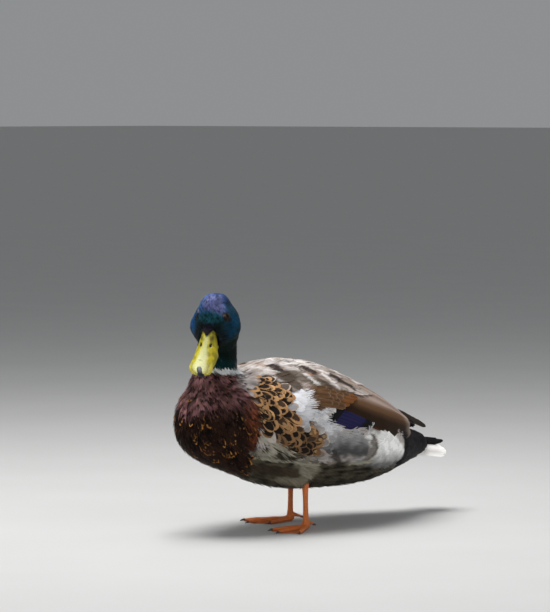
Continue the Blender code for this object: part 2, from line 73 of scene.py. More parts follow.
# The head's own frame: where it stands, turned left, bent down and tilted (degrees).
HEAD_AT = Vector((0.0096, NECK_FOOT - 0.0122, 0.2262))
HEAD_FRAME = Matrix.Translation(HEAD_AT)
for degrees, axis in ((30.0, "Z"), (35.0, "X"), (3.0, "Y")):
    HEAD_FRAME = HEAD_FRAME @ Matrix.Rotation(math.radians(degrees), 4, axis)
EYE_AT = Vector((0.0136, -0.011, 0.0155))
SIDES = ((1, "left"), (-1, "right"))
TOES = ("hind", "inner", "middle", "outer")

# Middle line of the body's side: distance behind the neck, height.
WAIST = ((-0.05, 0.119), (0.005, 0.1155), (0.035, 0.114), (0.065, 0.112), (0.1, 0.109), (0.14, 0.1055),
         (0.18, 0.1008), (0.22, 0.094), (0.25, 0.0875), (0.275, 0.0815), (0.295, 0.0785), (0.32, 0.0768))


# ---------------------------------------------------------------- materials

def operator(operation):
    """An operator on wires, and its reflected form."""
    return (lambda wire, other: wire.sum(operation, wire, other),
            lambda wire, other: wire.sum(operation, other, wire))


class Wire:
    """A value or colour in a material. Sums on it add the nodes that work them out."""

    def __init__(self, tree, socket=None):
        self.tree, self.socket = tree, socket

    def add(self, kind, settings=None, values=None, out=0):
        node = self.tree.nodes.new("ShaderNode" + kind)
        for name, value in (settings or {}).items():
            setattr(node, name, value)
        for name, value in (values or {}).items():
            if isinstance(value, Wire):
                self.tree.links.new(value.socket, node.inputs[name])
            else:
                node.inputs[name].default_value = value
        return Wire(self.tree, node.outputs[out])

    def other(self, out):
        """Another output of the same node."""
        return Wire(self.tree, self.socket.node.outputs[out])

    def sum(self, operation, left, right):
        wires = [side for side in (left, right) if isinstance(side, Wire)]
        if all(wire.socket.type == "VALUE" for wire in wires):
            return self.add("Math", {"operation": operation}, {0: left, 1: right})
        spread = [(side,) * 3 if isinstance(side, (int, float)) else side for side in (left, right)]
        return self.add("VectorMath", {"operation": operation}, {0: spread[0], 1: spread[1]})

    __add__, __radd__ = operator("ADD")
    __sub__, __rsub__ = operator("SUBTRACT")
    __mul__, __rmul__ = operator("MULTIPLY")
    __truediv__, __rtruediv__ = operator("DIVIDE")


def maths(operation, value):
    return value.add("Math", {"operation": operation}, {0: value})


def soft_step(value, low, high):
    """0 below low and 1 above high, smooth between them."""
    return value.add("MapRange", {"interpolation_type": "SMOOTHSTEP"}, {0: value, 1: low, 2: high})


def blend(first, second, share):
    """The first colour where share is 0, the second where it is 1."""
    first, second = ((*side, 1.0) if isinstance(side, tuple) else side for side in (first, second))
    return share.add("Mix", {"data_type": "RGBA"}, {0: share, 6: first, 7: second}, out=2)


def noise(place, scale, detail=2.0):
    return place.add("TexNoise", {}, {"Vector": place, "Scale": scale, "Detail": detail})


def layer(wire, name, out=0):
    """What a mesh has stored under a name."""
    return wire.add("Attribute", {"attribute_name": name}, out=out)


def new_material(name):
    """A new material and the place on its surface."""
    made = bpy.data.materials.new(name)
    made.use_nodes = True
    made.node_tree.nodes.clear()
    return made, Wire(made.node_tree).add("NewGeometry")


def finish(made, colour, roughness, height=None, relief=0.0002, constants=None, metallic=0.0):
    """Puts a colour, roughness and relief on a surface. Constants are set on the surface's own sockets."""
    surface = colour.add("BsdfPrincipled", {},
                         {"Base Color": colour, "Roughness": roughness, "Metallic": metallic})
    principled, links = surface.socket.node, surface.tree.links
    for name, value in (constants or {}).items():
        principled.inputs[name].default_value = value
    if height is not None:
        bump = colour.add("Bump", {}, {"Height": height, "Distance": relief, "Strength": 0.8})
        links.new(bump.socket, principled.inputs["Normal"])
    links.new(surface.socket, surface.tree.nodes.new("ShaderNodeOutputMaterial").inputs["Surface"])
    return made


def plumage_material(name, roughness, metallic=0.0, sheen=0.0, barbs=8000.0, gloss=0.5, broken=0.0):
    """Feathers. Each carries its own ground, mark and rim colours, and how far its marks reach."""
    made, place = new_material(name)
    vane = place.add("SeparateColor", {}, {0: layer(place, "vane")})
    signed = vane * 2 - 1
    across, along, luck = maths("ABSOLUTE", signed), vane.other(1), vane.other(2)
    heart = place.add("SeparateColor", {}, {0: layer(place, "pattern")})
    rim, bars, length = heart.other(1), heart.other(2), layer(place, "vane", out=3)
    grit = noise(place, 900.0)
    reach = across * across * 2.4 + ((along - 0.78) / 0.26) * ((along - 0.78) / 0.26)
    far = soft_step(reach + grit * 0.3, heart * 1.5, heart * 1.5 + 0.35)
    hearted = (1 - far) * soft_step(heart, 0.02, 0.1)
    toward_tip = place.sum("MAXIMUM", (along - 0.42) * 1.72, 0.0)
    leaning = signed + (luck - 0.5) * 0.5
    edge = leaning * leaning + toward_tip * toward_tip
    rimmed = soft_step(edge + (grit - 0.5) * 0.55, 1.0 - rim * 1.5, 1.16 - rim * 1.5)
    rimmed = rimmed * soft_step(rim, 0.01, 0.05)
    if broken:
        rimmed = rimmed * soft_step(noise(place, 330.0, 1.0), broken - 0.06, broken + 0.06)
    ripple = maths("SINE", along * length * 7200.0 + across * 3.0 + grit * 9.0 + luck * 20.0)
    colour = blend(layer(place, "ground"), layer(place, "mark"), soft_step(ripple, -0.4, 0.8) * bars)
    colour = blend(colour, layer(place, "mark"), hearted)
    colour = blend(colour, layer(place, "rim"), rimmed)
    shaft = 1 - soft_step(across, 0.03, 0.09)
    barb = maths("SINE", along * length * barbs + across * 9.0)
    colour = colour * (0.84 + grit * 0.32) * (1 - shaft * 0.12)
    constants = {"Specular IOR Level": gloss, "Sheen Weight": sheen, "Sheen Roughness": 0.5}
    return finish(made, colour, roughness + grit * 0.12, barb * 0.5 + shaft * 1.2 + grit * 0.6, 0.00008,
                  constants, metallic)


def skin_material():
    made, place = new_material("skin_and_down")
    down = noise(place, 1400.0, 4.0)
    return finish(made, layer(place, "ground") * (0.62 + down * 0.3), 0.9, down, 0.0004)


def horn_material(name, roughness, scale, relief):
    """Painted horn with fine growth lines: the bill and its nail."""
    made, place = new_material(name)
    cloud, grain = noise(place, scale * 0.25, 3.0), noise(place, scale, 3.0)
    colour = layer(place, "ground") * (0.86 + cloud * 0.16 + grain * 0.14)
    return finish(made, colour, roughness + grain * 0.15, grain * 0.6 + cloud, relief,
                  {"Specular IOR Level": 0.3, "Coat Weight": 0.15, "Coat Roughness": 0.25})


def leg_material():
    """Orange-red skin with small scales."""
    made, place = new_material("scaly_leg")
    cell = place.add("TexVoronoi", {"feature": "DISTANCE_TO_EDGE"}, {"Vector": place, "Scale": 780.0})
    tone = noise(place, 160.0, 3.0)
    crack = 1 - soft_step(cell, 0.02, 0.16)
    colour = blend((0.7, 0.15, 0.022), (0.85, 0.26, 0.04), tone)
    colour = blend(colour, (0.34, 0.06, 0.012), crack * 0.55)
    colour = blend(colour, (0.3, 0.07, 0.02), layer(place, "ground"))
    return finish(made, colour, 0.42 + tone * 0.16, soft_step(cell, 0.0, 0.25) + tone * 0.3, 0.00016,
                  {"Subsurface Weight": 0.08, "Subsurface Radius": (0.003, 0.001, 0.0005)})


def mixed_material(name, first, second, scale, roughness, spread, detail=3.0, relief=None, constants=None):
    """Two close colours in fine grain: claws, eyelids and the floor."""
    made, place = new_material(name)
    grain = noise(place, scale, detail)
    rough = roughness + grain * spread if spread else roughness
    return finish(made, blend(first, second, grain), rough, grain if relief else None, relief, constants)


def eye_material():
    """Brown iris round a black pupil under a wet surface."""
    made, place = new_material("eyeball")
    off_axis, fleck = layer(place, "ring", out=2), noise(place, 2600.0)
    iris = blend((0.01, 0.005, 0.002), (0.026, 0.011, 0.005), fleck)
    colour = blend((0.002, 0.002, 0.002), iris, soft_step(off_axis, 0.44, 0.5))
    colour = blend(colour, (0.012, 0.007, 0.005), soft_step(off_axis, 0.8, 0.9))
    return finish(made, colour, 0.06 + fleck * 0.03, None, 0.0,
                  {"Coat Weight": 0.04, "Coat Roughness": 0.02, "Specular IOR Level": 0.14})


# ---------------------------------------------------------------- small tools

def unit(v):
    return v / np.maximum(np.linalg.norm(v, axis=-1, keepdims=True), 1e-9)


def rise(low, high, value):
    """0 below low and 1 above high, smooth between them."""
    t = np.clip((value - low) / (high - low), 0, 1)
    return t * t * (3 - 2 * t)


def fall(low, high, value):
    return 1 - rise(low, high, value)


def bump_at(value, middle, wide):
    """1 at the middle, down to nothing a few widths away."""
    return np.exp(-((value - middle) / wide) ** 2)


def shaded(first, second, share):
    """The first colour where share is 0, the second where it is 1."""
    return first * (1 - share[:, None]) + second * share[:, None]


def rgb(*values):
    return np.array(values)


def on_rows(at, rows, per=1):
    """A table's second column at places along its first, divided by a number."""
    x, y = np.array(rows, float).T
    return np.interp(at, x, y / per)


def mottle(points, size, seed):
    """Smooth random patches of about the given size, from -1 to 1."""
    rng = np.random.default_rng(seed)
    total = np.zeros(len(points))
    for _ in range(7):
        way = rng.normal(size=3)
        way *= 2 * math.pi / size / np.linalg.norm(way) * rng.uniform(0.6, 1.4)
        total += np.sin(points @ way + rng.uniform(0, 6.3))
    return np.clip(total / 3.2, -1, 1)


def eased(rows, at):
    """The sizes of a table at a distance, on smooth curves through its rows that never overshoot them."""
    rows = np.array(rows, float)
    x, y = rows[:, 0], rows[:, 1:]
    step = np.diff(x)
    slope = np.diff(y, axis=0) / step[:, None]
    tangent = np.vstack([slope[:1], np.zeros_like(slope[1:]), slope[-1:]])
    for i in range(1, len(x) - 1):
        same_way = slope[i - 1] * slope[i] > 0
        mean = 2 * slope[i - 1] * slope[i] / np.where(same_way, slope[i - 1] + slope[i], 1)
        tangent[i] = np.where(same_way, mean, 0)
    i = int(np.clip(np.searchsorted(x, at, side="right") - 1, 0, len(step) - 1))
    t = (at - x[i]) / step[i]
    start = (2 * t**3 - 3 * t**2 + 1) * y[i] + (t**3 - 2 * t**2 + t) * step[i] * tangent[i]
    end = (3 * t**2 - 2 * t**3) * y[i + 1] + (t**3 - t**2) * step[i] * tangent[i + 1]
    return start + end


def placed(matrix, points):
    """Points moved by a matrix of four rows."""
    matrix = np.array(matrix)
    return points @ matrix[:3, :3].T + matrix[:3, 3]


def to_head(points):
    """Points in the head's own frame: left, ahead, up."""
    local = placed(HEAD_FRAME.inverted(), points)
    return local[:, 0], -local[:, 1], local[:, 2]


def station(points):
    """Distance behind the neck's foot, and degrees round the body from the back's middle line."""
    behind = points[:, 1] - NECK_FOOT
    return behind, np.degrees(np.arctan2(np.abs(points[:, 0]), points[:, 2] - on_rows(behind, WAIST)))


def new_mesh(name, points, faces):
    """A smooth mesh from an array of points and one of faces."""
    mesh = bpy.data.meshes.new(name)
    mesh.from_pydata(points, [], faces, shade_flat=False)
    return mesh


def put(name, data):
    """A new thing in the scene."""
    thing = bpy.data.objects.new(name, data)
    bpy.context.scene.collection.objects.link(thing)
    return thing


def new_piece(name, mesh, material, slot, *stands_for):
    """A piece on the root body, in the place of the named solids."""
    piece = put(name, mesh)
    mesh.materials.clear()
    mesh.materials.append(material)
    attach(piece, "root")
    if stands_for:
        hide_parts(*stands_for)
    return piece


def set_layer(mesh, name, values):
    """Stores a colour, or four numbers, at each corner of a mesh."""
    values = np.asarray(values, np.float32)
    if values.shape[1] == 3:
        values = np.column_stack([values, np.ones(len(values), np.float32)])
    mesh.attributes.new(name, "FLOAT_COLOR", "POINT").data.foreach_set("color", values.ravel())


def read(mesh, what="co"):
    """A mesh's corners or its normals there, one to a row."""
    flat = np.empty(len(mesh.vertices) * 3, np.float32)
    mesh.vertices.foreach_get(what, flat)
    return flat.reshape(-1, 3).astype(float)


def move(mesh, points):
    """Puts a mesh's corners in new places."""
    mesh.vertices.foreach_set("co", points.astype(np.float32).ravel())
    mesh.update()


def tree_over(mesh):
    """A mesh made ready for finding where a line meets it."""
    shape = bmesh.new()
    shape.from_mesh(mesh)
    tree = BVHTree.FromBMesh(shape)
    shape.free()
    return tree


# ---------------------------------------------------------------- skin

SKIN_VOXEL, LEG_VOXEL = 0.0016, 0.00042
SKULL = np.array(HEAD_FRAME @ Vector((0, -0.004, 0.006)))


def grown_together(name, names, voxel, smoothing):
    """One closed mesh over several solids of the frame, softened where they meet."""
    joined = bmesh.new()
    for node in names:
        joined.from_mesh(nodes[node].data)
    mesh = bpy.data.meshes.new(name)
    joined.to_mesh(mesh)
    joined.free()
    thing = put(name, mesh)
    remesh = thing.modifiers.new("grow", "REMESH")
    remesh.mode, remesh.voxel_size = "VOXEL", voxel
    soften = thing.modifiers.new("soften", "SMOOTH")
    soften.factor, soften.iterations = 0.5, smoothing
    result = bpy.data.meshes.new_from_object(thing.evaluated_get(bpy.context.evaluated_depsgraph_get()))
    bpy.data.objects.remove(thing)
    keep_outer_shell(result)
    return result


def keep_outer_shell(mesh):
    """Drops any shell shut inside the outer one."""
    shape = bmesh.new()
    shape.from_mesh(mesh)
    unseen, shells = set(shape.verts), []
    while unseen:
        shell, edge = set(), [unseen.pop()]
        while edge:
            vertex = edge.pop()
            shell.add(vertex)
            beyond = {link.other_vert(vertex) for link in vertex.link_edges} & unseen
            unseen -= beyond
            edge.extend(beyond)
        shells.append(shell)
    for shell in sorted(shells, key=len)[:-1]:
        bmesh.ops.delete(shape, geom=list(shell), context="VERTS")
    shape.to_mesh(mesh)
    shape.free()


def collar_height(points):
    """Distance up the neck from the middle of the white collar."""
    behind = points[:, 1] - NECK_FOOT
    return points[:, 2] - 0.1725 + 0.06 * behind - 1.3 * np.maximum(behind - 0.021, 0)


def coat_depth(points):
    """How far the skin lies inside the outline of the feathers."""
    body = fall(-0.004, 0.012, collar_height(points))
    face = rise(0.012, 0.034, to_head(points)[1]) * (1 - body)
    depth = 0.0018 + 0.0014 * body - 0.0009 * face
    return depth * (1 - 0.35 * rise(0.27, 0.31, station(points)[0]) * body)


def bill_share(side, ahead, up):
    """1 on the bill and 0 on the face, with a V of feathers on top between the bill's two horns."""
    aside, top = np.abs(side), rise(0.009, 0.0125, up)
    notch = 0.027 + 0.0096 * np.clip(1 - aside / 0.006, 0, 1) + 0.0075 * rise(0.0064, 0.0092, aside)
    cheek = 0.03 - 0.0022 * np.clip((0.012 - up) / 0.01, 0, 2.2)
    near = (ahead < 0.06) & (up > -0.016) & (aside < 0.0072 + 0.4 * np.clip(ahead - 0.028, 0, 1))
    return rise(-0.0005, 0.0005, ahead - (notch * top + cheek * (1 - top))) * near


class Skin:
    """The bird's skin, and where feathers lie on it."""

    def __init__(self):
        names = ["trunk", "neck", "head"]
        names += [f"{part}_{word}" for part in ("thigh", "wing", "eye") for _, word in SIDES]
        self.mesh = grown_together("skin", names, SKIN_VOXEL, 6)
        points = read(self.mesh)
        points -= read(self.mesh, "normal") * coat_depth(points)[:, None]
        plate = bill_share(*to_head(points))
        points -= read(self.mesh, "normal") * (plate * 0.0015)[:, None]
        move(self.mesh, points)
        shape = bmesh.new()
        shape.from_mesh(self.mesh)
        bmesh.ops.triangulate(shape, faces=shape.faces)
        bmesh.ops.smooth_vert(shape, verts=shape.verts, factor=0.5, use_axis_x=True, use_axis_y=True,
                              use_axis_z=True)
        self.points = np.array([v.co[:] for v in shape.verts])
        self.faces = np.array([[v.index for v in f.verts] for f in shape.faces])
        shape.to_mesh(self.mesh)
        shape.free()
        corners = self.points[self.faces]
        self.face_normals = unit(read(self.mesh, "normal")[self.faces].mean(axis=1))
        crosses = np.cross(corners[:, 1] - corners[:, 0], corners[:, 2] - corners[:, 0])
        self.areas = np.linalg.norm(crosses, axis=1) / 2
        self.centres = corners.mean(axis=1)
        self.tree = BVHTree.FromPolygons(self.points.tolist(), self.faces.tolist())

    def nearest(self, points):
        """The skin's nearest points and its normals there."""
        found = [self.tree.find_nearest(p) for p in points]
        return np.array([f[0] for f in found], float), self.face_normals[[f[2] for f in found]]

    def below(self, behind, angle):
        """The skin's points and normals at distances behind the neck and signed angles round the body."""
        places, ways = [], []
        for b, a, z in zip(behind, np.radians(angle), on_rows(behind, WAIST)):
            start, way = Vector((0, NECK_FOOT + b, z)), Vector((math.sin(a), 0, math.cos(a)))
            hit = self.tree.ray_cast(start, way)
            if hit[0] is None:
                hit = self.tree.find_nearest(start + way * 0.03)
            places.append(hit[0][:])
            ways.append(self.face_normals[hit[2]])
        return np.array(places), np.array(ways)

    def scatter(self, where, spacing, seed):
        """Root points spread evenly, at least a spacing apart, over the chosen faces."""
        rng = np.random.default_rng(seed)
        chosen = np.flatnonzero(where)
        shares = self.areas[chosen] / spacing[chosen]**2
        tries = int(shares.sum() * 7) + 1
        picks = chosen[rng.choice(len(chosen), size=tries, p=shares / shares.sum())]
        a, b = np.sqrt(rng.random(tries)), rng.random(tries)
        weights = np.column_stack([1 - a, a * (1 - b), a * b])
        places = (self.points[self.faces[picks]] * weights[:, :, None]).sum(axis=1)
        tree = KDTree(tries)
        for i, place in enumerate(places):
            tree.insert(place, i)
        tree.balance()
        free, kept = np.ones(tries, bool), []
        for i in range(tries):
            if free[i]:
                kept.append(i)
                for _, near, _ in tree.find_range(places[i], float(spacing[picks[i]])):
                    free[near] = False
        return places[kept], self.face_normals[picks[kept]]


# ---------------------------------------------------------------- lie of the coat

def off_skull(points):
    """Distance from the middle of the skull."""
    return np.linalg.norm(points - SKULL, axis=1)


def lie(points):
    """Which way feathers point: back along the body, down the breast and neck, back over the head."""
    behind, angle = station(points)
    side, off_middle = points[:, 0], np.abs(points[:, 0])
    front, under = fall(-0.045, 0.085, behind), rise(95, 150, angle)
    thigh = fall(0.055, 0.068, points[:, 2]) * rise(0.02, 0.03, off_middle)
    body = np.column_stack([
        0.45 * np.sign(side) * front * np.clip(off_middle / 0.03, 0, 1) * (1 - under),
        0.35 + 0.9 * (1 - front) + 0.5 * under,
        -1.25 * front * (1 - 0.6 * under) - 0.16 * rise(40, 100, angle) - 1.6 * thigh,
    ])
    neck = np.column_stack([side * 6, np.full(len(points), 0.12), np.full(len(points), -1.0)])
    head = unit(points - np.array(HEAD_FRAME @ Vector((0, -0.036, 0.004))))
    head[:, 2] -= 0.75 * rise(-0.01, 0.02, -to_head(points)[1])
    flow = shaded(unit(body), unit(neck), rise(-0.006, 0.014, collar_height(points)))
    return unit(shaded(flow, unit(head), rise(-0.026, -0.012, 0.012 - off_skull(points))))


def walk(skin, roots, normals, length, steps, wander, rng):
    """Spines that run over the skin from their roots, along the lie of the coat."""
    places, ways = [roots], [normals]
    side = np.cross(lie(roots), normals)
    turn = rng.normal(0, 1, len(roots))[:, None] * wander
    here, up = roots, normals
    for _ in range(steps):
        way = lie(here) + side * turn
        way = unit(way - up * (way * up).sum(axis=1, keepdims=True))
        here, up = skin.nearest(here + way * (length / steps)[:, None])
        places.append(here)
        ways.append(up)
    return np.stack(places, axis=1), np.stack(ways, axis=1)


# ---------------------------------------------------------------- feathers

# How a short feather and a long one are made, where a call says nothing else.
SHORT = {"columns": 9, "rows": 6, "lift": (0.0003, 0.0026), "blunt": 0.32, "fray": 0.1, "strips": False,
         "cup": 0.5, "narrow": 0.45, "taper": 0.62, "jitter": 0.00025, "paint": None, "atlas": 0}
LONG = {**SHORT, "blunt": 0.22, "fray": 0.02, "narrow": 0.55, "jitter": 0.0001, "bow": 0.0}
# Where feathers lie on the unwrap: from where to where along the bird, the share of the sheet used, its
# margin, one feather's own patch there, and how much of its cell a feather of a grid fills.
HEAD_SPAN, NECK_SPAN = ((-0.036, 0.04), "head"), ((0.16, 0.21), "neck")
BREAST_SPAN, BODY_SPAN, RUMP_SPAN = ((-0.055, 0.045), "body"), ((0.0, 0.25), "body"), ((0.2, 0.325), "body")
SHEET, MARGIN, PATCH, CELL_FILL = 0.96, 0.02, 0.003, 0.9


def feather_grid(many, make, rng):
    """Where a feather's corners lie: across from -1 to 1, along from 0 to its own ragged end near 1."""
    share, columns = np.linspace(0, 1, make.rows + 1), make.columns
    if not make.strips:
        tip = np.linspace(-1, 1, columns)
        u = np.tile(tip, (many, make.rows + 1, 1))
        rough = rng.normal(0, make.fray, (many, columns + 2))
        rough = rough[:, 1:-1] * 0.5 + rough[:, :-2] * 0.25 + rough[:, 2:] * 0.25
        split = (rng.random((many, columns)) < 0.07) * rng.uniform(0.04, 0.16, (many, columns))
        split = split * min(make.fray / 0.06, 1.0)
        end = 1 - make.blunt * np.abs(tip)[None, :] ** 2.6 + rough * (0.3 + 0.7 * np.abs(tip)) - split
        return u, share[None, :, None] * np.clip(end, 0.4, 1.08)[:, None, :], np.zeros((many, columns))
    pairs = columns // 2
    middle = (np.arange(pairs) + 0.5) / pairs * 2 - 1
    at_tip = middle[None, :] * 1.15 + rng.normal(0, 0.2, (many, pairs))
    at_root = np.broadcast_to(middle[None, :] * 0.55, (many, pairs))
    thick = (1.25 / pairs) * (1 - share**2.2 * 0.86)[None, :, None]
    u = at_root[:, None, :] + (at_tip - at_root)[:, None, :] * share[None, :, None] ** 1.3
    u = np.stack([u - thick, u + thick], axis=3).reshape(many, make.rows + 1, columns)
    end = 1 - make.blunt * np.abs(at_tip) ** 2 * 0.6 + rng.normal(0, make.fray, (many, pairs))
    end = np.repeat(np.clip(end, 0.45, 1.1), 2, axis=1)
    bounce = np.repeat(rng.normal(0, make.jitter * 1.6, (many, pairs)), 2, axis=1)
    return u, share[None, :, None] * end[:, None, :], bounce


def feather_form(half_width, make, rng):
    """Each feather's luck, and its corners' places across and along, half widths and heights off the skin."""
    many = len(half_width)
    luck = rng.random(many)
    u, s, bounce = feather_grid(many, make, rng)
    swell = make.narrow + (1 - make.narrow) * np.sin(np.clip(s / make.taper, 0, 1) * math.pi / 2)
    low, high = make.lift
    height = low + (high - low) * (0.45 * s + 0.55 * s * (2 - s))
    height = height + (rng.normal(0, make.jitter, many)[:, None, None] + bounce[:, None, :]) * s
    return luck, u, s, half_width[:, None, None] * swell, height


class Coat:
    """Feathers gathered into one mesh, each with its colours and its place on the skin's unwrap."""

    def __init__(self, name, spans=None):
        self.name, self.spans = name, spans
        self.points, self.faces, self.uvs = [], [], []
        self.count = self.placed = 0
        self.layers = {name: [] for name in ("vane", "ground", "mark", "rim", "pattern")}

    def add(self, spine, up, half_width, length, look, rng, **style):
        """Adds a batch of feathers of one make. Spine and up give each its line over the skin."""
        make = SimpleNamespace(**{**SHORT, **style})
        many, steps = len(spine), spine.shape[1] - 1
        luck, u, s, breadth, height = feather_form(np.array(half_width), make, rng)
        at = np.clip(s, 0, 0.99999) * steps
        low = at.astype(int)
        part = (at - low)[..., None]
        pick = np.arange(many)[:, None, None]
        between = lambda values: values[pick, low] * (1 - part) + values[pick, low + 1] * part
        beyond = (spine[:, -1] - spine[:, -2])[:, None, None] * (np.clip(s - 1, 0, 1) * steps)[..., None]
        normal = unit(between(up))
        across = np.cross(normal, unit(between(np.gradient(spine, axis=1))))
        height = height - make.cup * (u * breadth) ** 2 / 0.05 - 0.1 * make.cup * np.abs(u) ** 2 * breadth
        points = between(spine) + beyond + across * (u * breadth)[..., None]
        points = points + normal * np.maximum(height, 0.0)[..., None]
        self.store(points, u, s, luck, np.array(length), look, spine[:, 0], make)

    def add_on_body(self, ends, half_width, look, rng, side, **style):
        """Adds long feathers by their roots and tips: mm behind the neck, degrees round the body."""
        make = SimpleNamespace(**{**LONG, **style})
        ends = np.asarray(ends, float)
        luck, u, s, breadth, height = feather_form(np.array(half_width) / 1000, make, rng)
        start, end = ends[:, None, None, :2], ends[:, None, None, 2:4]
        line = start + (end - start) * s[..., None]
        behind, angle = line[..., 0] / 1000, line[..., 1] + make.bow * np.sin(math.pi * np.clip(s, 0, 1))
        girth = on_rows(behind, ((0.0, 0.057), (0.05, 0.066), (0.1, 0.073), (0.18, 0.064), (0.24, 0.046),
                                 (0.28, 0.034)))
        run = unit((end - start) * np.stack([np.full_like(girth, 0.001), np.radians(1) * girth], axis=-1))
        offset = u * breadth
        angle = angle + np.degrees(run[..., 0] * offset / girth)
        places, ways = skin.below((behind - run[..., 1] * offset).ravel(), angle.ravel() * side)
        height = height - 0.06 * np.abs(u) ** 2 * breadth
        points = (places + ways * height.reshape(-1, 1)).reshape(*s.shape, 3)
        if side > 0:
            points, u, s = points[:, :, ::-1], u[:, :, ::-1], s[:, :, ::-1]
        length = np.linalg.norm((ends[:, 2:4] - ends[:, :2]) * (0.001, 0.00115), axis=1)
        self.store(points, u, s, luck, length, look, points[:, 0, make.columns // 2], make)

    def store(self, points, u, s, luck, length, look, roots, make):
        many, rows, columns = u.shape
        size = rows * columns
        corner = np.arange(size).reshape(rows, columns)
        quads = np.array([
            (corner[k, m], corner[k + 1, m], corner[k + 1, m + 1], corner[k, m + 1])
            for k in range(rows - 1) for m in range(0, columns - 1, 2 if make.strips else 1)
        ])
        self.faces.append((quads[None] + (np.arange(many) * size)[:, None, None] + self.count).reshape(-1, 4))
        spread = lambda value: np.repeat(np.asarray(value, float), size, axis=0)
        if make.atlas:
            cell = 1.0 / make.atlas
            index = self.placed + np.arange(many)
            column, row = index % make.atlas, index // make.atlas % make.atlas
            home = np.column_stack([(column + 0.5) * cell, (row + 0.5) * cell])
            patch = cell * CELL_FILL
        else:
            home, patch = self.unwrap(roots), PATCH
        local = np.stack([u * 0.5, s - 0.5], axis=-1) * patch
        self.uvs.append((home[:, None, None, :] + local).reshape(-1, 2))
        points, across, along = points.reshape(-1, 3), u.reshape(-1), s.reshape(-1)
        ground = spread(look["ground"])
        if make.paint:
            ground = make.paint(across, along, ground, np.repeat(np.arange(many), size), points)
        vane = (np.clip(across * 0.5 + 0.5, 0, 1), np.clip(along, 0, 1), spread(luck), spread(length))
        pattern = np.column_stack([look["heart"], look["edge"], look["bars"], luck])
        values = (np.column_stack(vane), ground, spread(look["mark"]), spread(look["rim"]), spread(pattern))
        for name, value in zip(self.layers, values):
            self.layers[name].append(value)
        self.points.append(points)
        self.placed += many
        self.count += many * size

    def unwrap(self, roots):
        """The skin laid flat: round the body, and along it."""
        (low, high), kind = self.spans
        if kind == "head":
            side, along, up = to_head(roots)
            turn = np.arctan2(side, up - 0.002) / (2 * math.pi)
        elif kind == "neck":
            along = roots[:, 2]
            turn = np.arctan2(roots[:, 0] - 0.002, roots[:, 1] - NECK_FOOT) / (2 * math.pi)
        else:
            along, angle = station(roots)
            turn = angle * np.where(roots[:, 0] < 0, -1, 1) / 360
        share = np.clip((along - low) / (high - low), 0, 1)
        return np.column_stack([0.5 + turn * SHEET, MARGIN + SHEET * share])

    def piece(self, material, slot, *stands_for):
        points, faces = np.concatenate(self.points), np.concatenate(self.faces)
        points[:, 2] = np.maximum(points[:, 2], 0.0002)
        mesh = new_mesh(self.name, points, faces)
        for name, values in self.layers.items():
            set_layer(mesh, name, np.concatenate(values))
        flat = np.clip(np.concatenate(self.uvs)[faces.ravel()], 0.001, 0.999)
        mesh.uv_layers.new(name="OFBake").data.foreach_set("uv", flat.astype(np.float32).ravel())
        return new_piece(self.name, mesh, material, slot, *stands_for)


# ---------------------------------------------------------------- markings

def region(behind, angle, outline, soft=4.0):
    """1 inside an outline (mm behind the neck, degrees round the body), fading over a soft edge."""
    x, y = behind * 1000, angle * 1.25
    inside, nearest = np.zeros(len(x), bool), np.full(len(x), 1e9)
    corners = [(b, a * 1.25) for b, a in outline]
    for (x0, y0), (x1, y1) in zip(corners, corners[1:] + corners[:1]):
        long, high = x1 - x0, y1 - y0
        inside ^= ((y0 > y) != (y1 > y)) & (x < long * (y - y0) / (high or 1e-9) + x0)
        along = np.clip(((x - x0) * long + (y - y0) * high) / (long ** 2 + high ** 2), 0, 1)
        nearest = np.minimum(nearest, np.hypot(x - x0 - along * long, y - y0 - along * high))
    return rise(-soft / 2, soft / 2, np.where(inside, nearest, -nearest))


CHESTNUT_EDGE = ((0, 8), (21, 6.5), (38, 3), (52, 2), (65, 7), (76, 9), (87, 8), (103, 9), (122, 11),
    (148, 21), (171, 39), (180, 42))
SHOULDER = ((4, 16), (14, 15), (35, 22), (30, 34), (19, 50), (11, 66), (6, 74), (4, 66), (2, 50), (3, 38),
    (6, 21))
ORANGE_EDGED = ((35, 28), (42, 35), (46, 44), (52, 51), (54, 60), (53, 70), (54, 79), (53, 88), (62, 91),
    (70, 84), (78, 88), (87, 95), (90, 107), (88, 112), (70, 115), (52, 114), (40, 109), (28, 102),
    (11, 95), (3, 87), (5, 65), (12, 48), (22, 36))
WHITE_TUFT = ((50, 64), (58, 58), (71, 57), (79, 61), (79, 67), (75, 73), (83, 76), (92, 76), (93, 81),
    (102, 86), (112, 88), (103, 93), (86, 95), (80, 89), (72, 83), (66, 86), (61, 92), (54, 90), (54, 81),
    (54, 74), (50, 70))
GREY_FLANK = ((54, 91), (66, 94), (77, 91), (103, 93), (119, 90), (134, 90), (150, 97), (161, 104),
    (162, 111), (147, 113), (121, 112), (98, 113), (91, 109), (87, 95), (75, 99))
RUSTY_RIM = ((157, 91), (167, 96), (175, 104), (169, 115), (157, 120), (155, 115), (164, 104), (158, 97))
RUMP_SIDE = ((143, 94), (153, 90), (194, 88), (216, 91), (231, 99), (252, 118), (256, 128), (237, 131),
    (205, 130), (166, 126), (139, 121), (142, 116), (158, 113), (167, 110), (166, 105), (155, 98))
BLACK_RUMP = ((215, 0), (215, 40), (222, 66), (224, 80), (231, 88), (236, 99), (240, 112), (238, 122),
    (234, 181), (360, 181), (360, 0))
BELLY = ((11, 118), (30, 106), (60, 112), (90, 118), (125, 117), (150, 118), (172, 122), (205, 128),
    (236, 128), (245, 181), (5, 181))
TERTIAL_AREA = ((134, 62), (140, 84), (150, 87.5), (170, 89.5), (207, 89.5), (236, 82), (264, 60))
